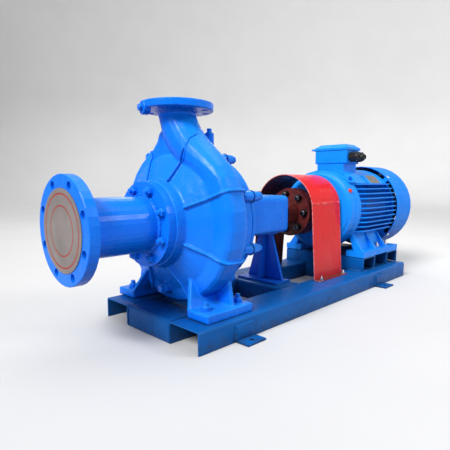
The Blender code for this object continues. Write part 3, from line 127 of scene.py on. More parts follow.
class Surface:
    """A node material, with the steps that the paints and metals share."""

    def __init__(self, name, roughness, metallic=0.0, coat=0.0, specular=0.25):
        self.material = bpy.data.materials.new(name)
        self.material.use_nodes = True
        self.tree = self.material.node_tree
        self.shader = self.tree.nodes["Principled BSDF"]
        self.shader.inputs["Roughness"].default_value = roughness
        self.shader.inputs["Metallic"].default_value = metallic
        self.shader.inputs["Coat Weight"].default_value = coat
        self.shader.inputs["Coat Roughness"].default_value = COAT_ROUGHNESS
        self.shader.inputs["Specular IOR Level"].default_value = specular
        self.place = self.add("ShaderNodeTexCoord").outputs["Object"]
        self.relief = None

    def add(self, kind, **settings):
        made = self.tree.nodes.new(kind)
        for name, value in settings.items():
            setattr(made, name, value)
        return made

    def feed(self, socket, value):
        if isinstance(value, bpy.types.NodeSocket):
            self.tree.links.new(value, socket)
        elif socket.type == "RGBA":
            socket.default_value = (*value, 1)
        else:
            socket.default_value = value

    def noise(self, scale, detail, stretch=(1, 1, 1), offset=0.0):
        """Noise in the row frame. The stretch squeezes it along an axis."""
        spread = self.add("ShaderNodeMapping")
        self.feed(spread.inputs["Vector"], self.place)
        spread.inputs["Scale"].default_value = stretch
        spread.inputs["Location"].default_value = (offset, offset, offset)
        made = self.add("ShaderNodeTexNoise")
        self.feed(made.inputs["Vector"], spread.outputs["Vector"])
        made.inputs["Scale"].default_value = scale
        made.inputs["Detail"].default_value = detail
        return made.outputs["Fac"]

    def between(self, value, start, end, top=1.0):
        """0 where the value is at start, up to top where it is at end."""
        made = self.add("ShaderNodeMapRange", interpolation_type="SMOOTHSTEP")
        self.feed(made.inputs["Value"], value)
        made.inputs["From Min"].default_value = start
        made.inputs["From Max"].default_value = end
        made.inputs["To Max"].default_value = top
        return made.outputs["Result"]

    def spots(self, scale, detail, start, end, top=1.0, stretch=(1, 1, 1), offset=0.0):
        """Spots of noise: 0 where the noise is under start, top where it is over end."""
        return self.between(self.noise(scale, detail, stretch, offset), start, end, top)

    def sums(self, operation, first, second=0.0):
        made = self.add("ShaderNodeMath", operation=operation)
        self.feed(made.inputs[0], first)
        self.feed(made.inputs[1], second)
        return made.outputs["Value"]

    def vectors(self, operation, first, second, output="Vector"):
        made = self.add("ShaderNodeVectorMath", operation=operation)
        self.feed(made.inputs[0], first)
        self.feed(made.inputs[1], second)
        return made.outputs[output]

    def axis(self, vector, name):
        """The X, Y or Z of a vector."""
        parts = self.add("ShaderNodeSeparateXYZ")
        self.feed(parts.inputs["Vector"], vector)
        return parts.outputs[name]

    def mix(self, share, first, second):
        """The first colour, with a share of the second."""
        made = self.add("ShaderNodeMix", data_type="RGBA")
        self.feed(made.inputs["Factor"], share)
        self.feed(made.inputs[MIX_FIRST], first)
        self.feed(made.inputs[MIX_SECOND], second)
        return made.outputs[MIX_COLOUR]

    def upward(self):
        """How far the surface faces up."""
        return self.axis(self.add("ShaderNodeNewGeometry").outputs["Normal"], "Z")

    def height(self):
        return self.axis(self.place, "Z")

    def recess(self, distance):
        """1 in corners and between fins, 0 on open faces: where painted shade goes."""
        made = self.add("ShaderNodeAmbientOcclusion", samples=RECESS_SAMPLES)
        made.inputs["Distance"].default_value = distance
        return self.between(made.outputs["AO"], OPEN_FACE, DEEP_CORNER)

    def gloss(self, scale, detail, offset, spread, least):
        """A roughness that wanders from least up by spread."""
        wander = self.spots(scale, detail, 0.3, 0.7, top=spread, offset=offset)
        return self.sums("ADD", wander, least)

    def bump(self, value, depth):
        made = self.add("ShaderNodeBump")
        made.inputs["Strength"].default_value = 1.0
        made.inputs["Distance"].default_value = depth
        self.feed(made.inputs["Height"], value)
        if self.relief is not None:
            self.feed(made.inputs["Normal"], self.relief)
        self.relief = made.outputs["Normal"]

    def done(self, colour, roughness=None):
        self.feed(self.shader.inputs["Base Color"], colour)
        if roughness is not None:
            self.feed(self.shader.inputs["Roughness"], roughness)
        if self.relief is not None:
            self.feed(self.shader.inputs["Normal"], self.relief)
        return self.material


def scaled(colour, share):
    return tuple(share * part for part in colour)


RUST = (0.13, 0.035, 0.012)
GRIME = (0.03, 0.028, 0.025)
CHANNEL_SHADE = (0.012, 0.018, 0.026)     # painted shade inside the channels
DUST = (0.30, 0.33, 0.36)
SKY_LIGHT = (0.015, 0.36, 0.88)        # painted sky light on faces that look up
SCUFFED = (0.05, 0.16, 0.30)
UNDERSIDE_SHADE = 0.3                    # painted shade on undersides, as a share of the deep colour
SPECK = 0.5                        # of the deep colour
CORNER_REACH = 0.015
CHANNEL_REACH = 0.09
SPLASH_HEIGHT = 0.06               # above the floor
GLOSS_SPREAD = 0.16


def worn_enamel(made, paint, wear):
    """The paint with scuffs, splashes near the floor, painted shade inside the channels and
    rust spots.
    """
    scuffs = made.spots(60, 6, 0.62, 0.72, top=wear, stretch=(0.3, 1, 1), offset=4.0)
    paint = made.mix(scuffs, paint, SCUFFED)
    splash = made.between(made.height(), SPLASH_HEIGHT, 0.0, top=0.4)
    dirt = made.spots(50, 5, 0.45, 0.65, offset=9.0)
    paint = made.mix(made.sums("MULTIPLY", splash, dirt), paint, GRIME)
    # painted shade inside the channels, where little light reaches
    inside = made.sums("MULTIPLY", made.recess(CHANNEL_REACH), 0.75)
    paint = made.mix(inside, paint, CHANNEL_SHADE)
    return made.mix(made.spots(85, 4, 0.70, 0.76, top=0.8, offset=2.0), paint, RUST)


def enamel(name, colour, deep, roughness=0.3, coat=0.08, lumps=0.0010, grain=45, dust=0.03,
           wear=0.0, corner=0.5, specular=0.12, sky_light=0.35):
    """Brushed enamel over a rough casting or a rolled section.

    The deep colour shows in patches and runs, and times corner as painted shade in the
    corners, painted light where corner is over 1. Faces that look up get painted sky
    light, by sky_light, and undersides painted shade. Lumps is how deep the relief is,
    and grain how fine.
    """
    made = Surface(name, roughness, coat=coat, specular=specular)
    patches = made.spots(7, 4, 0.35, 0.7, top=0.6)
    runs = made.spots(38, 3, 0.45, 0.75, top=0.25, stretch=(1, 1, 0.25))
    paint = made.mix(made.sums("MAXIMUM", patches, runs), colour, deep)
    # painted shade in the corners and between fins: times corner of the deep colour, painted
    # light where corner is over 1
    paint = made.mix(made.recess(CORNER_REACH), paint, scaled(deep, corner))
    # painted sky light: faces that look up turn paler and greener
    paint = made.mix(made.between(made.upward(), -0.1, 0.8, top=sky_light), paint, SKY_LIGHT)
    # painted shade on the undersides
    under = made.between(made.upward(), -0.05, -0.85, top=0.8)
    paint = made.mix(under, paint, scaled(deep, UNDERSIDE_SHADE))
    specks = made.spots(230, 2, 0.70, 0.78, top=0.35)
    paint = made.mix(specks, paint, scaled(deep, SPECK))
    settled = made.between(made.upward(), 0.5, 0.95, top=dust)
    cloud = made.spots(16, 5, 0.35, 0.65)
    paint = made.mix(made.sums("MULTIPLY", settled, cloud), paint, DUST)
    if wear:
        paint = worn_enamel(made, paint, wear)
    made.bump(made.noise(grain, 4), lumps)
    made.bump(made.noise(320, 2), lumps * 0.2)
    return made.done(paint, made.gloss(30, 3, 5.0, GLOSS_SPREAD, roughness - GLOSS_SPREAD / 2))


RED, HAZY_RED = (0.74, 0.008, 0.010), (0.68, 0.024, 0.032)
TOP_SHEEN_RED = (0.78, 0.50, 0.48)
SCRATCHED_RED = (0.62, 0.20, 0.19)
CREASE_HIGHLIGHT_RED = (0.80, 0.34, 0.33)
EDGE_HIGHLIGHT_RED = (0.80, 0.36, 0.34)
SPLASHED_RED = (0.20, 0.03, 0.03)
PRIMER, DEEP_PRIMER = (0.150, 0.034, 0.022), (0.075, 0.022, 0.018)

# Heights above the floor
SHEEN_FROM, SHEEN_TO = 0.446, 0.470      # the top of the arch, where a painted reflection lies
CREASE_HEIGHT = 0.358                      # where the arch meets the straight legs
CREASE_WIDTH = 0.007
CREASE_DEPTH = 0.0022
DENT_DEPTH = 0.0030
SPLASHED_FROM, SPLASHED_TO = 0.12, 0.06
EDGE_FROM, EDGE_TO = 0.0032, 0.0012        # in from the guard's front and rear edges


def guard_enamel():
    """Red outside the arch, dark brown primer inside it, with painted highlights on the crease
    and the edges and a painted reflection over the top.
    """
    made = Surface("guard_red", 0.22, coat=0.2, specular=0.12)
    geometry = made.add("ShaderNodeNewGeometry")
    outward = made.vectors("SUBTRACT", geometry.outputs["Position"], tuple(SHAFT))
    across = made.vectors("MULTIPLY", outward, ACROSS_SHAFT)
    looks_out = made.vectors("DOT_PRODUCT", across, geometry.outputs["Normal"], "Value")
    inside = made.between(looks_out, -0.01, -0.03)
    red = made.mix(made.spots(9, 5, 0.4, 0.75, top=0.5, stretch=(1, 1, 0.4)), RED, HAZY_RED)
    # painted reflection: paler streaks over the top of the arch
    top = made.between(made.height(), SHEEN_FROM, SHEEN_TO, top=0.5)
    sheen_streaks = made.spots(90, 6, 0.57, 0.66, stretch=(0.3, 1, 1), offset=2.0)
    red = made.mix(made.sums("MULTIPLY", top, sheen_streaks), red, TOP_SHEEN_RED)
    scratches = made.spots(30, 6, 0.66, 0.74, top=0.5, stretch=(1, 1, 0.12), offset=3.0)
    red = made.mix(scratches, red, SCRATCHED_RED)
    # painted highlight along the crease where the arch meets the straight legs; the crease's
    # relief is the bump further down
    below = made.between(made.height(), CREASE_HEIGHT - CREASE_WIDTH, CREASE_HEIGHT)
    above = made.between(made.height(), CREASE_HEIGHT + CREASE_WIDTH, CREASE_HEIGHT)
    crease = made.sums("MULTIPLY", below, above)
    crease_glints = made.spots(55, 4, 0.42, 0.62, top=0.45, offset=11.0)
    red = made.mix(made.sums("MULTIPLY", crease, crease_glints), red, CREASE_HIGHLIGHT_RED)
    brown = made.mix(made.spots(12, 5, 0.35, 0.7, offset=7.0), PRIMER, DEEP_PRIMER)
    splash = made.between(made.height(), SPLASHED_FROM, SPLASHED_TO, top=0.35)
    paint = made.mix(splash, made.mix(inside, red, brown), SPLASHED_RED)
    # painted highlight along the front and rear edges, broken up by noise
    front, rear = low("coupling_guard", "x"), high("coupling_guard", "x")
    half = (rear - front) / 2
    along = made.sums("SUBTRACT", made.axis(made.place, "X"), (front + rear) / 2)
    from_middle = made.sums("ABSOLUTE", along)
    edge = made.between(from_middle, half - EDGE_FROM, half - EDGE_TO, top=0.75)
    edge_glints = made.spots(120, 4, 0.35, 0.55, offset=1.0)
    paint = made.mix(made.sums("MULTIPLY", edge, edge_glints), paint, EDGE_HIGHLIGHT_RED)
    made.bump(crease, CREASE_DEPTH)
    made.bump(made.noise(14, 3), DENT_DEPTH)
    made.bump(made.noise(300, 2), 0.0001)
    return made.done(paint, made.gloss(20, 4, 6.0, spread=0.2, least=0.2))


HANDLED = (0.25, 0.10, 0.07)


def primer(name, colour, deep):
    """Brown red primer with handling marks."""
    made = Surface(name, 0.45)
    paint = made.mix(made.spots(25, 5, 0.4, 0.7), colour, deep)
    paint = made.mix(made.spots(90, 5, 0.66, 0.74, top=0.6), paint, HANDLED)
    made.bump(made.noise(500, 2, stretch=(0.1, 1, 1)), 0.0002)
    return made.done(paint, made.spots(40, 3, 0.2, 0.8, top=0.7))


def metal(name, colour, deep, roughness, turned=False):
    """Bare or zinc plated steel, with turning marks where it is turned."""
    made = Surface(name, roughness, metallic=1.0)
    paint = made.mix(made.spots(60, 5, 0.4, 0.75), colour, deep)
    made.bump(made.noise(160, 3, stretch=(12, 1, 1) if turned else (1, 1, 1)), 0.0002)
    paint = made.mix(made.spots(150, 4, 0.68, 0.76, top=0.5, offset=3.0), paint, RUST)
    return made.done(paint, made.gloss(45, 4, 8.0, spread=0.2, least=roughness - 0.1))


BOARD_GREY, BOARD_DARK = (0.250, 0.222, 0.215), (0.198, 0.176, 0.170)
BOARD_SCUFFED = (0.20, 0.17, 0.15)
RING_RED = (0.34, 0.035, 0.03)
RING_BANDS = ((0.0610, 0.0645), (0.0905, 0.0945))
RING_EDGE = 0.001


def board():
    """Grey board with plain red rings, scuffed."""
    made = Surface("cover_board", 0.6)
    across = made.vectors("MULTIPLY", made.place, ACROSS_SHAFT)
    radius = made.vectors("DISTANCE", across, (0, SHAFT_Y, SHAFT_Z), "Value")
    paper = made.mix(made.spots(14, 5, 0.3, 0.7), BOARD_GREY, BOARD_DARK)
    for start, end in RING_BANDS:
        outer = made.between(radius, end, end - RING_EDGE)
        inner = made.between(radius, start - RING_EDGE, start)
        paper = made.mix(made.sums("MULTIPLY", outer, inner), paper, RING_RED)
    scuff = made.spots(45, 6, 0.62, 0.74, top=0.4, offset=5.0)
    made.bump(made.noise(260, 3), 0.0002)
    return made.done(made.mix(scuff, paper, BOARD_SCUFFED))


def plastic(name, colour, roughness):
    """Moulded plastic with a paler bloom on it."""
    made = Surface(name, roughness)
    tint = made.mix(made.spots(40, 4, 0.4, 0.8, top=0.5), colour, scaled(colour, 2.2))
    made.bump(made.noise(600, 2), 0.0001)
    return made.done(tint)


CAST_BLUE = enamel("cast_blue", (0.003, 0.195, 0.92), (0.002, 0.145, 0.80), lumps=0.0022,
                   corner=0.7)
PIPE_BLUE = enamel("pipe_blue", (0.003, 0.190, 0.94), (0.002, 0.15, 0.84), lumps=0.0008,
                   grain=30, corner=0.8, sky_light=0.25)
# corner over 1: painted light in the motor's corners and between its fins
MOTOR_BLUE = enamel("motor_blue", (0.004, 0.26, 0.95), (0.003, 0.215, 0.88), 0.40, 0.02,
                    lumps=0.0012, corner=1.2, dust=0.012, specular=0.15, sky_light=0.2)
SHEET_BLUE = enamel("sheet_blue", (0.002, 0.215, 0.86), (0.002, 0.18, 0.76), 0.5, 0.0,
                    lumps=0.0005, grain=18, dust=0.0, specular=0.1, sky_light=0.15)
FRAME_BLUE = enamel("frame_blue", (0.001, 0.112, 0.42), (0.001, 0.082, 0.33), 0.40, 0.03,
                    lumps=0.0008, grain=70, dust=0.02, wear=0.22, specular=0.1, sky_light=0.02)
# a very dark blue that stands for the shade in the split between the lugs
SPLIT_SHADE_BLUE = enamel("split_shade_blue", (0.001, 0.035, 0.26), (0.001, 0.026, 0.20), 0.5, 0.0, sky_light=0.0)
STAND_BLUE = enamel("stand_blue", (0.004, 0.135, 0.78), (0.003, 0.105, 0.66), 0.36, 0.05,
                    lumps=0.0012, sky_light=0.05)
GUARD_RED = guard_enamel()
BROWN = primer("coupling_brown", (0.13, 0.020, 0.018), (0.075, 0.012, 0.012))
STEEL = metal("turned_steel", (0.30, 0.30, 0.31), (0.16, 0.155, 0.15), 0.36, turned=True)
DARK_STEEL = metal("dark_steel", (0.055, 0.055, 0.060), (0.025, 0.025, 0.028), 0.3)
ZINC = metal("zinc_steel", (0.72, 0.74, 0.76), (0.50, 0.52, 0.53), 0.3)
PLATE_METAL = metal("plate_metal", (0.42, 0.40, 0.38), (0.28, 0.26, 0.25), 0.42)
BOARD = board()
BLACK = plastic("black_plastic", (0.012, 0.012, 0.014), 0.32)
RED_PLASTIC = plastic("red_plastic", (0.55, 0.03, 0.02), 0.4)

PIN_NODES = ["coupling_pin_%d" % number for number in range(1, 8)]
NODE_PAINTS = {
    **{node: DARK_STEEL for node in PIN_NODES},
    "suction_spool": PIPE_BLUE,
    "motor_frame": MOTOR_BLUE,
    "motor_front_shield": MOTOR_BLUE,
    "motor_rear_shield": MOTOR_BLUE,
    "terminal_box": MOTOR_BLUE,
    "terminal_box_lid": MOTOR_BLUE,
    "fan_cowl": SHEET_BLUE,
    "bracket_stand": STAND_BLUE,
}
SLOT_PAINTS = {
    "pump_paint": CAST_BLUE,
    "frame_paint": FRAME_BLUE,
    "guard_paint": GUARD_RED,
    "coupling_paint": BROWN,
    "bright_steel": STEEL,
    "cover_board": BOARD,
    "black_plastic": BLACK,
}


def paint_nodes():
    for row in frame["record"]["subparts"]:
        node = frame["nodes"][row["node"]]
        surface = NODE_PAINTS.get(row["node"], SLOT_PAINTS[row["material_slot"]])
        node.data.materials.clear()
        node.data.materials.append(surface)


# Pieces

SMOOTH_ANGLE = math.radians(35)


def finish_piece(name, shape, surface, body=SET):
    """Turn a bmesh into a piece that rides on a body."""
    mesh = bpy.data.meshes.new(name)
    bmesh.ops.recalc_face_normals(shape, faces=shape.faces)
    shape.to_mesh(mesh)
    shape.free()
    mesh.shade_smooth()
    mesh.set_sharp_from_angle(angle=SMOOTH_ANGLE)
    mesh.materials.append(surface)
    made = put_in_scene(name, mesh)
    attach(made, body)
    return made


def facing(point, direction, spin=0.0):
    """A place at a point with its Z axis along a direction."""
    turn = Vector(direction).to_track_quat("Z", "Y").to_matrix().to_4x4()
    return Matrix.Translation(point) @ turn @ Matrix.Rotation(spin, 4, "Z")


def skin_rows(shape, rows):
    """Faces from each closed row of points to the next, and one over each end."""
    count = len(rows[0])
    for below, above in zip(rows, rows[1:]):
        for i in range(count):
            j = (i + 1) % count
            shape.faces.new((below[i], below[j], above[j], above[i]))
    shape.faces.new(list(reversed(rows[0])))
    shape.faces.new(rows[-1])


def add_turned(shape, place, profile, sides=20):
    """Turn a profile about the place's Z axis."""
    rows = []
    for height, radius in profile:
        row = []
        for side in range(sides):
            angle = 2 * math.pi * side / sides
            row.append(shape.verts.new(
                place @ Vector((radius * math.cos(angle), radius * math.sin(angle), height))))
        rows.append(row)
    skin_rows(shape, rows)


# The parts of a bolt, as shares of its size, which is the radius of its washer
WASHER_WALL = 0.16
HEAD_WALL = 0.68
HEAD_CORNER = 0.88
HEAD_CHAMFER = 0.10
HEAD_CROWN = 0.78
THREAD_CREST = 0.5
THREAD_ROOT = 0.44
THREAD_PITCH = 0.15
THREAD_END = 0.38
THREAD_END_WALL = 0.06
THREAD_SIDES = 12


def add_bolt(shape, place, size, stud=0.0):
    """A washer with a hexagon head on it, or a nut with a stud standing out of it."""
    washer, head, corner = WASHER_WALL * size, HEAD_WALL * size, HEAD_CORNER * size
    add_turned(shape, place, [(0, size), (washer, size)])
    base = place @ Matrix.Translation((0, 0, washer))
    add_turned(shape, base, [(0, corner), (head - HEAD_CHAMFER * size, corner),
                             (head, HEAD_CROWN * size)], 6)
    if stud:
        thread = [(head, THREAD_CREST * size)]
        turns = max(2, round(stud / (THREAD_PITCH * size)))
        for turn in range(turns):
            thread += [(head + stud * (turn + 0.5) / turns, THREAD_ROOT * size),
                       (head + stud * (turn + 1) / turns, THREAD_CREST * size)]
        thread.append((head + stud + THREAD_END_WALL * size, THREAD_END * size))
        add_turned(shape, base, thread, THREAD_SIDES)


WELD_STEP = 0.0022
WELD_SIDES = 8
RIPPLE, RIPPLE_RATE = 0.16, 1.9
SWELL, SWELL_RATE = 0.08, 0.7
WELD_TIP = 0.35                    # of the radius, at both ends


def add_weld(shape, path, radius):
    """A weld bead with the ripples of its passes along a row of points."""
    line = [Vector(point) for point in path]
    rings = []
    count = 0
    for start, end in zip(line, line[1:]):
        along = (end - start).normalized()
        across = along.orthogonal().normalized()
        other = along.cross(across)
        steps = max(1, round((end - start).length / WELD_STEP))
        for step in range(steps + 1):
            wave = (1 + RIPPLE * math.sin(count * RIPPLE_RATE)
                    + SWELL * math.sin(count * SWELL_RATE))
            count += 1
            if (start, step) == (line[0], 0) or (end is line[-1] and step == steps):
                wave = WELD_TIP
            centre = start.lerp(end, step / steps)
            ring = []
            for side in range(WELD_SIDES):
                angle = 2 * math.pi * side / WELD_SIDES
                ring.append(shape.verts.new(
                    centre + (across * math.cos(angle) + other * math.sin(angle))
                    * radius * wave))
            rings.append(ring)
    skin_rows(shape, rings)


# Castings: the CAD castings with the fillets and soft edges of the foundry

CAST_VOXEL = 0.0028
CAST_SOFTENING = 0.5
CAST_PASSES = 2
CAST_SHARE = 0.55                  # of the triangles of the remesh that are kept


def cast_skin(node, name):
    """A copy of a cast node, remeshed and relaxed so that its corners are filleted."""
    mesh = frame["nodes"][node].data.copy()
    mesh.name = name
    made = put_in_scene(name, mesh)
    remesh = made.modifiers.new("fillets", "REMESH")
    remesh.mode = "VOXEL"
    remesh.voxel_size = CAST_VOXEL
    soften = made.modifiers.new("soften", "SMOOTH")
    soften.factor = CAST_SOFTENING
    soften.iterations = CAST_PASSES
    thin = made.modifiers.new("thin", "DECIMATE")
    thin.ratio = CAST_SHARE
    depsgraph = bpy.context.evaluated_depsgraph_get()
    cast = bpy.data.meshes.new_from_object(made.evaluated_get(depsgraph))
    made.modifiers.clear()
    made.data = cast
    lowest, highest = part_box(node)
    for vertex in cast.vertices:
        vertex.co = [min(max(part, least), most)
                     for part, least, most in zip(vertex.co, lowest, highest)]
    cast.shade_smooth()
    cast.materials.clear()
    cast.materials.append(CAST_BLUE)
    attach(made, SET)
    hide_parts(node)
    return made


# Fasteners of the pump. Each bolt is turned by its own amount, as a spanner leaves it.

SPOOL_BOLT_CIRCLE = 0.102
SPOOL_BOLT, SPOOL_STUD = 0.0145, 0.007
SPOOL_FLANGE_WALL = 0.024
LUG_CIRCLE = 0.205
LUG_BOLT, LUG_STUD = 0.0132, 0.003
LUG_DEPTH = 0.034
CASING_REAR_X = 0.250
FOOT_BOLT, FOOT_STUD = 0.0155, 0.010
FOOT_BOLTS = ((0.080, 0.180), (0.207, 0.181))  # from the front end and off the shaft line
FOOT_PAD_WALL = 0.025
COVER_SCREW, COVER_SCREW_CIRCLE = 0.0068, 0.051
COVER_SCREW_ANGLES = [math.radians(30 + 60 * number) for number in range(6)]
DRAIN_BOLT = 0.0135
DRAIN_DROP = 0.200
DRAIN_X = 0.0683

DISCHARGE_X = 0.131
DISCHARGE_RADIUS = 0.1085
RIM_BOSS_ANGLE = math.radians(168)     # about the discharge flange's own axis
RIM_BOSS_RADIUS = 0.0200
RIM_BOSS_DROP = 0.0005                 # of its top under the flange's face
RIM_BOSS_ROOT = 0.018                  # inside the flange's edge
RIM_BOSS_STEPS = ((0, -0.002), (0.004, 0), (0.019, 0), (0.021, -0.002))
RIM_BOLT, RIM_BOLT_OUT = 0.0118, 0.003


def rim_boss(shape):
    """The boss with a plug on the edge of the discharge flange."""
    height = high("volute_casing", "z") - RIM_BOSS_RADIUS - RIM_BOSS_DROP
    flange_axis = Vector((FRONT_X + DISCHARGE_X, SHAFT_Y, height))
    outward = Vector((math.cos(RIM_BOSS_ANGLE), math.sin(RIM_BOSS_ANGLE), 0))
    root = flange_axis + outward * (DISCHARGE_RADIUS - RIM_BOSS_ROOT)
    add_turned(shape, facing(root, outward),
               [(rise, RIM_BOSS_RADIUS + step) for rise, step in RIM_BOSS_STEPS], 32)
    tip = flange_axis + outward * (DISCHARGE_RADIUS + RIM_BOLT_OUT)
    add_bolt(shape, facing(tip, outward), RIM_BOLT)


def pump_fasteners():
    shape = bmesh.new()
    flange_x = high("suction_spool", "x") - SPOOL_FLANGE_WALL
    for number, angle in enumerate(EIGHT_ANGLES):
        place = facing(around(flange_x, SPOOL_BOLT_CIRCLE, angle), (-1, 0, 0), 0.4 * number)
        add_bolt(shape, place, SPOOL_BOLT, SPOOL_STUD)
    joint_x = FRONT_X + CASING_REAR_X
    for number, angle in enumerate(EIGHT_ANGLES):
        front = around(joint_x - LUG_DEPTH, LUG_CIRCLE, angle)
        rear = around(joint_x + LUG_DEPTH, LUG_CIRCLE, angle)
        add_bolt(shape, facing(front, (-1, 0, 0), 0.3 * number), LUG_BOLT)
        add_bolt(shape, facing(rear, (1, 0, 0), 0.5 * number), LUG_BOLT, LUG_STUD)
    pad_z = high("rail_near", "z") + FOOT_PAD_WALL
    for number, (x, y) in enumerate(FOOT_BOLTS):
        for side in (-1, 1):
            point = Vector((FRONT_X + x, SHAFT_Y + side * y, pad_z))
            add_bolt(shape, facing(point, (0, 0, 1), 0.7 * number + side), FOOT_BOLT, FOOT_STUD)
    rim_boss(shape)
    drain = around(FRONT_X + DRAIN_X, DRAIN_DROP, math.pi)
    add_bolt(shape, facing(drain, (-1, 0, 0), 0.2), DRAIN_BOLT)
    cover_x = high("bearing_cover", "x")
    for angle in COVER_SCREW_ANGLES:
        screw = around(cover_x, COVER_SCREW_CIRCLE, angle)
        add_bolt(shape, facing(screw, (1, 0, 0), angle), COVER_SCREW)
    finish_piece("pump_bolts", shape, CAST_BLUE)


LUG_SEAM_WALL = 0.0020
LUG_SEAM_RADIUS = 0.0186


def lug_split_shades():
    """A dark ring of painted shade in the split between the casing's lugs and the bracket's."""
    shape = bmesh.new()
    joint_x = FRONT_X + CASING_REAR_X - LUG_SEAM_WALL / 2
    for angle in EIGHT_ANGLES:
        add_turned(shape, facing(around(joint_x, LUG_CIRCLE, angle), (1, 0, 0)),
                   [(0, LUG_SEAM_RADIUS), (LUG_SEAM_WALL, LUG_SEAM_RADIUS)], 28)
    finish_piece("lug_split_shades", shape, SPLIT_SHADE_BLUE)


# Coupling nuts: a dark hexagon with a bright ring and a stud end in it, and a collar behind

PIN_CIRCLE = 0.0735
PIN_START = math.radians(12.9)
HEXAGON_PROFILE = ((-0.003, 0.0128), (0.0004, 0.0128), (0.0022, 0.0108))
RING_PROFILE = ((0, 0.0094), (0.0036, 0.0094), (0.0043, 0.0086), (0.0043, 0.0066),
                (0.0030, 0.0060))
STUD_PROFILE = ((0.0026, 0.0060), (0.0060, 0.0058), (0.0068, 0.0045))
COLLAR_PROFILE = ((-0.0007, 0.0146), (0.0010, 0.0146))
COLLAR_BACK = 0.0150               # behind the pin's front end


def coupling_nuts():
    rings, studs = bmesh.new(), bmesh.new()
    for number, node in enumerate(PIN_NODES):
        angle = PIN_START + 2 * math.pi * number / len(PIN_NODES)
        place = facing(around(low(node, "x"), PIN_CIRCLE, angle), (-1, 0, 0), angle)
        add_turned(studs, place, HEXAGON_PROFILE, 6)
        add_turned(rings, place, RING_PROFILE, 20)
        add_turned(studs, place, STUD_PROFILE, 16)
        root = around(low(node, "x") + COLLAR_BACK, PIN_CIRCLE, angle)
        add_turned(studs, facing(root, (-1, 0, 0)), COLLAR_PROFILE, 24)
    finish_piece("coupling_nuts", rings, STEEL, ROTOR)
    finish_piece("coupling_studs", studs, DARK_STEEL, ROTOR)


# Fittings of the guard and the motor

GUARD_BOLTS_X = (0.694, 0.858)
GUARD_BOLT_SIDE = 0.174
GUARD_BOLT, GUARD_STUD = 0.0085, 0.009
GUARD_FOOT_WALL = 0.0028
MOTOR_BOLTS_X = (1.166, 1.255)
MOTOR_BOLT_SIDE = 0.163
MOTOR_BOLT, MOTOR_STUD = 0.0130, 0.010
MOTOR_FOOT_TOP = 0.1456            # above the floor
COWL_SCREW_BACK = 0.018            # behind the cowl's front edge
COWL_SCREW_ANGLES = (43, 132, 228, 317)
COWL_SCREW_PROFILE = ((-0.002, 0.0085), (0.0022, 0.0085), (0.0042, 0.0066), (0.0050, 0.0035))
PAST_MOTOR = 0.5                   # a radius outside everything


def surface_at(node, x, angle):
    """The outside of a node at an angle about the shaft line, and the way out from it."""
    outward = outwards(angle)
    found, point, _, _ = frame["nodes"][node].ray_cast(around(x, PAST_MOTOR, angle), -outward)
    if not found:
        raise ValueError("nothing of %s at %.3f" % (node, x))
    return point, outward


def zinc_fasteners():
    shape = bmesh.new()
    foot_z = high("rail_near", "z") + GUARD_FOOT_WALL
    middle = (low("coupling_guard", "y") + high("coupling_guard", "y")) / 2
    for number, x in enumerate(GUARD_BOLTS_X):
        for side in (-1, 1):
            point = Vector((FRONT_X + x, middle + side * GUARD_BOLT_SIDE, foot_z))
            place = facing(point, (0, 0, 1), number + 0.3 * side)
            add_bolt(shape, place, GUARD_BOLT, GUARD_STUD)
    for number, x in enumerate(MOTOR_BOLTS_X):
        for side in (-1, 1):
            point = Vector((FRONT_X + x, SHAFT_Y + side * MOTOR_BOLT_SIDE, MOTOR_FOOT_TOP))
            place = facing(point, (0, 0, 1), number + 0.5 * side)
            add_bolt(shape, place, MOTOR_BOLT, MOTOR_STUD)
    screw_x = low("fan_cowl", "x") + COWL_SCREW_BACK
    for angle in COWL_SCREW_ANGLES:
        point, outward = surface_at("fan_cowl", screw_x, math.radians(angle))
        add_turned(shape, facing(point, outward), COWL_SCREW_PROFILE, 16)
    finish_piece("zinc_bolts", shape, ZINC)


LID_SCREW_INSET = 0.011
LID_SCREW_RISE = 0.009             # above the lid's lower edge
LID_SCREW_PROFILE = ((0, 0.0065), (0.0052, 0.0065), (0.0066, 0.0050))
EAR_IN, EAR_OUT, EAR_RISE = 0.014, 0.010, 0.001
EAR_PROFILE = ((0, 0.0110), (0.001, 0.0120), (0.006, 0.0120), (0.007, 0.0110))
ARM_ROOT, ARM_RISE = 0.004, 0.0035
ARM_PROFILE = ((0, 0.0055), (0.012, 0.0050))


def lid_fittings():
    """Screws on the terminal box lid and the hanging ear at its front corner."""
    shape = bmesh.new()
    x0, x1 = low("terminal_box_lid", "x"), high("terminal_box_lid", "x")
    y0, y1 = low("terminal_box_lid", "y"), high("terminal_box_lid", "y")
    z = low("terminal_box_lid", "z")
    for x in (x0 + LID_SCREW_INSET, x1 - LID_SCREW_INSET):
        for y in (y0 + LID_SCREW_INSET, y1 - LID_SCREW_INSET):
            place = facing(Vector((x, y, z + LID_SCREW_RISE)), (0, 0, 1))
            add_turned(shape, place, LID_SCREW_PROFILE, 16)
    ear = Vector((x0 + EAR_IN, y1 + EAR_OUT, z + EAR_RISE))
    add_turned(shape, facing(ear, (0, 0, 1)), EAR_PROFILE, 20)
    arm = facing(Vector((ear.x, y1 - ARM_ROOT, z + ARM_RISE)), (0, 1, 0))
    add_turned(shape, arm, ARM_PROFILE, 8)
    finish_piece("lid_screws", shape, MOTOR_BLUE)


# The gland's hexagons, as heights and shares of the radius at their corners
GLAND_CORNER = 0.0212 / math.cos(math.pi / 6)
GLAND_TURN = 0.25
GLAND_SEAT = ((0, 0.0165), (0.004, 0.0165))
GLAND_BODY_AT, GLAND_CAP_AT, GLAND_COLLAR_AT = 0.004, 0.017, 0.032
GLAND_BODY = ((0, 0.95), (0.001, 1), (0.012, 1), (0.013, 0.95))
GLAND_CAP = ((0, 0.88), (0.001, 0.93), (0.013, 0.93), (0.015, 0.86))


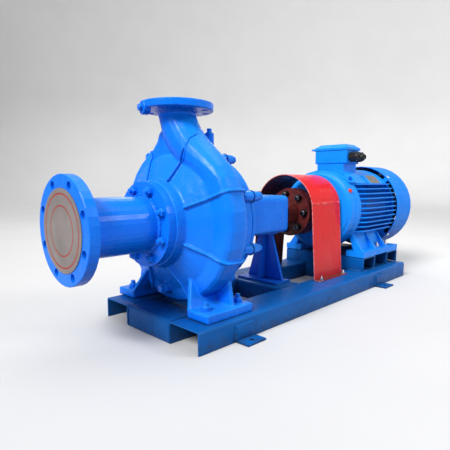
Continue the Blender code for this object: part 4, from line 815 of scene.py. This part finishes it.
def cable_gland(number):
    """A hexagon body, a hexagon cap and the open collar where a cable would go in."""
    node = "cable_gland_%d" % number
    x = (low(node, "x") + high(node, "x")) / 2
    z = (low(node, "z") + high(node, "z")) / 2
    shape = bmesh.new()
    place = facing(Vector((x, high(node, "y"), z)), (0, -1, 0), GLAND_TURN)
    add_turned(shape, place, GLAND_SEAT, 24)
    for start, profile in ((GLAND_BODY_AT, GLAND_BODY), (GLAND_CAP_AT, GLAND_CAP)):
        add_turned(shape, place @ Matrix.Translation((0, 0, start)),
                   [(height, GLAND_CORNER * share) for height, share in profile], 6)
    reach = high(node, "y") - low(node, "y") - GLAND_COLLAR_AT
    add_turned(shape, place @ Matrix.Translation((0, 0, GLAND_COLLAR_AT)),
               [(0, 0.0165), (reach * 0.4, 0.0150), (reach * 0.8, 0.0118),
                (reach, 0.0100), (reach, 0.0068), (reach - 0.008, 0.0062)], 24)
    made = finish_piece("gland_body_%d" % number, shape, BLACK)
    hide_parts(node)


LIFT_ANGLE = math.radians(-43)
LIFT_X = 0.969
LIFT_LEAN = Vector((-0.45, 0, 0))
LIFT_PROFILE = ((-0.012, 0.0230), (0.010, 0.0220), (0.0145, 0.0195), (0.0145, 0.0135),
                (0.0130, 0.0120), (-0.002, 0.0115))


def lifting_boss():
    """The boss for an eye bolt at the front of the motor frame, with its open hole."""
    shape = bmesh.new()
    point, outward = surface_at("motor_frame", FRONT_X + LIFT_X, LIFT_ANGLE)
    add_turned(shape, facing(point, outward + LIFT_LEAN), LIFT_PROFILE, 28)
    finish_piece("lifting_boss", shape, MOTOR_BLUE)


FAN_WALL = 0.0024
FAN_PLATE_RADIUS = 0.176
FAN_HUB_FOOT, FAN_HUB_RADIUS, FAN_HUB_END, FAN_BORE = 0.046, 0.040, 0.036, 0.012
FAN_BLADES = 11
FAN_BLADE_ROOT, FAN_BLADE_TIP = 0.038, 0.178
FAN_BLADE_FOOT = 0.001
FAN_BLADE_STEPS = 8
FAN_SWEEP = 0.28
FAN_BLADE_DEPTH = 0.92             # of the wheel's depth
FAN_CORNER_DROP = 0.22             # off that depth, over the last 0.3 of the blade
FAN_CORNER_START, FAN_CORNER_LENGTH = 0.7, 0.3


def cooling_fan():
    """The motor fan: hub, back plate and swept blades that taper towards their tips."""
    shape = bmesh.new()
    deep = high("motor_fan", "x") - low("motor_fan", "x")
    place = facing(Vector((low("motor_fan", "x"), SHAFT_Y, SHAFT_Z)), (1, 0, 0))
    add_turned(shape, place, [(0, FAN_HUB_RADIUS), (0, FAN_PLATE_RADIUS),
                              (FAN_WALL, FAN_PLATE_RADIUS), (FAN_WALL + 0.001, FAN_HUB_FOOT),
                              (deep * 0.9, FAN_HUB_RADIUS), (deep, FAN_HUB_END),
                              (deep, FAN_BORE)], 48)
    for blade in range(FAN_BLADES):
        first = 2 * math.pi * blade / FAN_BLADES
        rows = []
        for step in range(FAN_BLADE_STEPS + 1):
            share = step / FAN_BLADE_STEPS
            radius = FAN_BLADE_ROOT + (FAN_BLADE_TIP - FAN_BLADE_ROOT) * share
            angle = first + FAN_SWEEP * share * share
            past_corner = max(0.0, share - FAN_CORNER_START)
            reach = deep * (FAN_BLADE_DEPTH - FAN_CORNER_DROP * past_corner / FAN_CORNER_LENGTH)
            row = []
            for height, side in ((FAN_BLADE_FOOT, -1), (reach, -1), (reach, 1),
                                 (FAN_BLADE_FOOT, 1)):
                turn = angle + side * FAN_WALL / 2 / radius
                row.append(shape.verts.new(place @ Vector(
                    (radius * math.cos(turn), radius * math.sin(turn), height))))
            rows.append(row)
        skin_rows(shape, rows)
    made = finish_piece("fan_wheel", shape, BLACK, ROTOR)
    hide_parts("motor_fan")


PLATE_ANGLE = math.radians(-44)
PLATE_RADIUS = 0.185
PLATE_ENDS_X = (1.104, 1.229)      # of the boss that carries it
PLATE_SIZE = (0.092, 0.050)
PLATE_WALL = 0.0008
PLATE_CORNER = 0.004
RIVET_INSET = 0.006
RIVET_PROFILE = ((0, 0.0028), (0.0014, 0.0026), (0.0022, 0.0014))


def rating_plate():
    """A bare metal plate with rounded corners and a rivet at each corner."""
    shape = bmesh.new()
    outward = outwards(PLATE_ANGLE)
    centre = around(FRONT_X + sum(PLATE_ENDS_X) / 2, PLATE_RADIUS, PLATE_ANGLE)
    along = Vector((1, 0, 0))
    across = outward.cross(along)
    ring = []
    for sx, sy, first in ((1, 1, 0), (-1, 1, 90), (-1, -1, 180), (1, -1, 270)):
        for step in range(4):
            angle = math.radians(first + 30 * step)
            u = sx * (PLATE_SIZE[0] / 2 - PLATE_CORNER) + PLATE_CORNER * math.cos(angle)
            v = sy * (PLATE_SIZE[1] / 2 - PLATE_CORNER) + PLATE_CORNER * math.sin(angle)
            ring.append(centre + along * u + across * v)
    skin_rows(shape, [[shape.verts.new(point + outward * rise) for point in ring]
                      for rise in (0, PLATE_WALL)])
    for sx in (-1, 1):
        for sy in (-1, 1):
            point = (centre + along * sx * (PLATE_SIZE[0] / 2 - RIVET_INSET)
                     + across * sy * (PLATE_SIZE[1] / 2 - RIVET_INSET))
            add_turned(shape, facing(point, outward), RIVET_PROFILE, 12)
    finish_piece("rating_plate", shape, PLATE_METAL)


CAP_X = 0.925
CAP_RADIUS = 0.166
CAP_ANGLE = math.radians(-60)
CAP_PROFILE = ((0, 0.0098), (0.006, 0.0096), (0.0095, 0.0078), (0.0105, 0.004))


def red_cap():
    """The red plastic cap on the grease point of the motor's front shield."""
    shape = bmesh.new()
    place = facing(around(FRONT_X + CAP_X, CAP_RADIUS, CAP_ANGLE), outwards(CAP_ANGLE))
    add_turned(shape, place, CAP_PROFILE, 16)
    finish_piece("grease_point_cap", shape, RED_PLASTIC)


# Beads of the casing, and the raised line where one runs on over the neck

BEAD_RADIUS = 0.0044
BEAD_STAND = 0.35                  # how far its middle stands out, in radii
BEAD_TIP = 0.5                     # of the radius, at both ends
BEAD_INNER = 0.131
BEAD_TURN = 0.236
BEAD_TURN_X = 0.112                # where it turns over the channel's front corner
BEAD_END_X = 0.216
BEAD_STEPS = 26                    # on the front, and again on the top
BEAD_FIRST = math.radians(28)
BEAD_LAST = math.radians(302)
AHEAD_OF_CASING_X = -0.2
PAST_CASING = 0.4                  # a radius outside it

IMAGE_SIZE = 450
SEAM_PIXELS = ((183.4, 160.7), (184.6, 152.0), (185.6, 145.2), (189.2, 138.0), (197.6, 133.2))
SEAM_RADIUS = 0.0024
SEAM_STAND = 0.3
SEAM_STEPS = 10


def seen_point(piece, u, v):
    """Where the line of sight through a place in the photograph meets a piece."""
    camera = bpy.context.scene.camera
    focal = LENS / SENSOR * IMAGE_SIZE
    middle = IMAGE_SIZE / 2
    across = u - (middle - SHIFT[0] * IMAGE_SIZE)
    down = v - (middle + SHIFT[1] * IMAGE_SIZE)
    direction = camera.matrix_world.to_3x3() @ Vector((across, -down, -focal))
    start = camera.matrix_world.translation
    found, point, normal, _ = piece.ray_cast(start, direction.normalized())
    if not found:
        raise ValueError("pixel %.1f, %.1f misses %s" % (u, v, piece.name))
    return point, normal


def laid_bead(name, path, radius):
    """A raised bead with tapered ends along points that lie on the casting."""
    curve = bpy.data.curves.new(name, "CURVE")
    curve.dimensions = "3D"
    curve.bevel_depth = radius
    curve.bevel_resolution = 3
    curve.use_fill_caps = True
    spline = curve.splines.new("POLY")
    spline.points.add(len(path) - 1)
    for index, (point, place) in enumerate(zip(spline.points, path)):
        point.co = (*place, 1)
        point.radius = BEAD_TIP if index in (0, len(path) - 1) else 1.0
    curve.materials.append(CAST_BLUE)
    made = put_in_scene(name, curve)
    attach(made, SET)


def casting_beads(casing):
    """The beads that run from the inlet ring over the cone and the channel to the lugs."""
    for number, angle in enumerate(EIGHT_ANGLES):
        path = []
        for step in range(BEAD_STEPS + 1):
            radius = BEAD_INNER + (BEAD_TURN - BEAD_INNER) * step / BEAD_STEPS
            start = around(FRONT_X + AHEAD_OF_CASING_X, radius, angle)
            found, point, normal, _ = casing.ray_cast(start, Vector((1, 0, 0)))
            if found and point.x < FRONT_X + BEAD_TURN_X:
                path.append(point + normal * BEAD_RADIUS * BEAD_STAND)
        if not BEAD_FIRST < angle < BEAD_LAST:
            laid_bead("cone_bead_%d" % number, path, BEAD_RADIUS)
            continue
        for step in range(BEAD_STEPS + 1):
            x = BEAD_TURN_X + (BEAD_END_X - BEAD_TURN_X) * step / BEAD_STEPS
            start = around(FRONT_X + x, PAST_CASING, angle)
            found, point, normal, _ = casing.ray_cast(start, -outwards(angle))
            if found:
                path.append(point + normal * BEAD_RADIUS * BEAD_STAND)
        laid_bead("casting_bead_%d" % number, path, BEAD_RADIUS)


def neck_seam(casing):
    path = []
    for (u0, v0), (u1, v1) in zip(SEAM_PIXELS, SEAM_PIXELS[1:]):
        for step in range(SEAM_STEPS):
            share = step / SEAM_STEPS
            point, normal = seen_point(casing, u0 + (u1 - u0) * share, v0 + (v1 - v0) * share)
            path.append(point + normal * SEAM_RADIUS * SEAM_STAND)
    laid_bead("neck_seam", path, SEAM_RADIUS)


# Welds

WELD_RADIUS = 0.0040
WELD_FOOT, WELD_HEAD = 0.004, 0.007            # above the floor, and under the deck
SEAM_WELD_RADIUS = 0.0028
SEAM_WELD_INSET, SEAM_WELD_DROP = 0.006, 0.0015
STITCH = 0.03
RISER_WELD_NEAR, RISER_WELD_FAR = 0.008, 0.070  # in from the riser's ends
RAIL_END_GAP = 0.004
BRACKET_WELD_FOOT = 0.006


def cross_member_welds(shape, node, deck):
    x0, x1 = low(node, "x"), high(node, "x")
    seam_z = deck - SEAM_WELD_DROP
    for y in (high("rail_near", "y"), low("rail_far", "y")):
        for x in (x0, x1):
            add_weld(shape, [(x, y, WELD_FOOT), (x, y, deck - WELD_HEAD)], WELD_RADIUS)
        add_weld(shape, [(x0 + SEAM_WELD_INSET, y, seam_z), (x1 - SEAM_WELD_INSET, y, seam_z)],
                 SEAM_WELD_RADIUS)


def riser_welds(shape, node, deck):
    x0, x1 = low(node, "x"), high(node, "x")
    rear_end = min(x1, high("rail_near", "x") - RAIL_END_GAP)
    for y in (low(node, "y"), high(node, "y")):
        for start, end in ((x0, x0 + STITCH), (rear_end - STITCH, rear_end)):
            add_weld(shape, [(start, y, deck), (end, y, deck)], WELD_RADIUS)
    for side in (-1, 1):
        start = side * (abs(low(node, "y")) - RISER_WELD_NEAR)
        end = side * (abs(low(node, "y")) - RISER_WELD_FAR)
        add_weld(shape, [(x0, start, deck), (x0, end, deck)], WELD_RADIUS)


def frame_welds():
    shape = bmesh.new()
    deck = high("rail_near", "z")
    for name in ("front", "stand", "motor", "rear"):
        cross_member_welds(shape, "cross_member_" + name, deck)
    for name in ("front", "rear"):
        riser_welds(shape, "motor_riser_" + name, deck)
    for side in ("near", "far"):
        for end in ("front", "rear"):
            node = "anchor_bracket_%s_%s" % (side, end)
            y = high(node, "y") if side == "near" else low(node, "y")
            x0, x1 = low(node, "x"), high(node, "x")
            foot, top = BRACKET_WELD_FOOT, high(node, "z")
            add_weld(shape, [(x0, y, foot), (x0, y, top), (x1, y, top), (x1, y, foot)],
                     WELD_RADIUS)
    x0, x1 = low("bracket_stand", "x"), high("bracket_stand", "x")
    y0, y1 = low("bracket_stand", "y"), high("bracket_stand", "y")
    corners = ((x0, y0), (x1, y0), (x1, y1), (x0, y1), (x0, y0))
    add_weld(shape, [(x, y, deck) for x, y in corners], WELD_RADIUS)
    finish_piece("frame_welds", shape, FRAME_BLUE)


PIPE_WELD_CIRCLE = 0.0835
PIPE_WELD_RADIUS = 0.0042
PIPE_WELD_STEPS = 64
PIPE_WELD_OFF = 0.002              # off the flange
SUCTION_FLANGE_WALL = 0.027


def spool_welds():
    shape = bmesh.new()
    front = low("suction_spool", "x") + SUCTION_FLANGE_WALL + PIPE_WELD_OFF
    rear = high("suction_spool", "x") - SPOOL_FLANGE_WALL - PIPE_WELD_OFF
    for x in (front, rear):
        ring = [around(x, PIPE_WELD_CIRCLE, 2 * math.pi * k / PIPE_WELD_STEPS)
                for k in range(PIPE_WELD_STEPS + 1)]
        add_weld(shape, ring, PIPE_WELD_RADIUS)
    finish_piece("spool_welds", shape, PIPE_BLUE)


# Floor and light

FLOOR_DROP = 0.0006
FLOOR_FLAT = 7.0                   # from here the floor sweeps up into a pale wall
SWEEP_RADIUS = 2.5
SWEEP_STEPS = 12
WALL_TOP = 5.5
FLOOR_SIDES = 96
FLOOR_RINGS = (1.5, 3.0, 5.0, FLOOR_FLAT)
FLOOR_PALE, FLOOR_GREY = (0.69, 0.69, 0.69), (0.67, 0.67, 0.67)


def build_floor():
    """A floor that sweeps up all round, like the cove of a studio."""
    profile = [(radius, 0.0) for radius in FLOOR_RINGS]
    for step in range(1, SWEEP_STEPS + 1):
        turn = math.pi / 2 * step / SWEEP_STEPS
        profile.append((FLOOR_FLAT + SWEEP_RADIUS * math.sin(turn),
                        SWEEP_RADIUS * (1 - math.cos(turn))))
    profile.append((FLOOR_FLAT + SWEEP_RADIUS, WALL_TOP))
    shape = bmesh.new()
    rows = []
    for radius, height in profile:
        rows.append([shape.verts.new((radius * math.cos(2 * math.pi * side / FLOOR_SIDES),
                                      radius * math.sin(2 * math.pi * side / FLOOR_SIDES),
                                      height)) for side in range(FLOOR_SIDES)])
    shape.faces.new(rows[0])
    for inner, outer in zip(rows, rows[1:]):
        for i in range(FLOOR_SIDES):
            j = (i + 1) % FLOOR_SIDES
            shape.faces.new((inner[i], outer[i], outer[j], inner[j]))
    mesh = bpy.data.meshes.new("floor")
    shape.to_mesh(mesh)
    shape.free()
    mesh.shade_smooth()
    floor = put_in_scene("floor", mesh)
    floor.location = (0, 0, -FLOOR_DROP)
    made = Surface("floor_paint", 0.7, specular=0.1)
    tone = made.mix(made.spots(1.5, 3, 0.3, 0.7), FLOOR_PALE, FLOOR_GREY)
    mesh.materials.append(made.done(tone))


WORLD_STRENGTH = 0.34
KEY_TOWARDS = (-1.0, -0.10, 0.85)
KEY_STRENGTH = 2.7
KEY_SPREAD = math.radians(24)
AREA_LIGHTS = (                    # name, place, aim, size and watts
    ("gloss", (-2.6, -0.5, 2.4), (-0.3, 0, 0.4), (1.0, 0.6), 22),
    ("top", (0.3, 0.2, 3.0), (0.2, 0, 0.3), (2.4, 1.6), 25),
    ("fill", (1.5, -2.7, 2.4), (0.1, 0, 0.3), (0.8, 0.8), 34),
    ("rim", (1.8, 2.4, 2.2), (0, 0, 0.4), (1.6, 1.2), 25),
)


def area_light(name, place, aim, size, watts):
    light = bpy.data.lights.new(name, "AREA")
    light.shape = "RECTANGLE"
    light.size, light.size_y = size
    light.energy = watts
    made = put_in_scene(name, light)
    made.location = place
    direction = Vector(aim) - Vector(place)
    made.rotation_euler = direction.to_track_quat("-Z", "Y").to_euler()


def build_light():
    world = bpy.data.worlds.new("studio")
    world.use_nodes = True
    background = world.node_tree.nodes["Background"]
    background.inputs["Color"].default_value = (1.0, 1.0, 1.0, 1)
    background.inputs["Strength"].default_value = WORLD_STRENGTH
    bpy.context.scene.world = world
    bpy.context.scene.view_settings.view_transform = "Standard"
    key = bpy.data.lights.new("key", "SUN")
    key.energy = KEY_STRENGTH
    key.angle = KEY_SPREAD
    sun = put_in_scene("key", key)
    sun.rotation_euler = Vector(KEY_TOWARDS).to_track_quat("Z", "Y").to_euler()
    for row in AREA_LIGHTS:
        area_light(*row)


EDGE_WIDTHS = {
    "terminal_box": 0.0020, "terminal_box_lid": 0.0012, "motor_riser_front": 0.0010,
    "motor_riser_rear": 0.0010, "bracket_stand": 0.0012, "coupling_pump_half": 0.0012,
    "coupling_motor_half": 0.0012, "grease_cap": 0.0010,
}
EDGE_ANGLE = math.radians(40)


def soften_edges():
    """Small bevels on machined and folded nodes, so that their edges catch the light."""
    for node, width in EDGE_WIDTHS.items():
        edge = frame["nodes"][node].modifiers.new("edge", "BEVEL")
        edge.width = width
        edge.segments = 2
        edge.limit_method = "ANGLE"
        edge.angle_limit = EDGE_ANGLE


build_camera()
build_light()
build_floor()
paint_nodes()
soften_edges()
casing_skin = cast_skin("volute_casing", "casing_skin")
cast_skin("bearing_bracket", "bracket_skin")
bpy.context.view_layer.update()
casting_beads(casing_skin)
neck_seam(casing_skin)
pump_fasteners()
lug_split_shades()
coupling_nuts()
zinc_fasteners()
lid_fittings()
for gland_number in (1, 2):
    cable_gland(gland_number)
rating_plate()
red_cap()
lifting_boss()
cooling_fan()
frame_welds()
spool_welds()
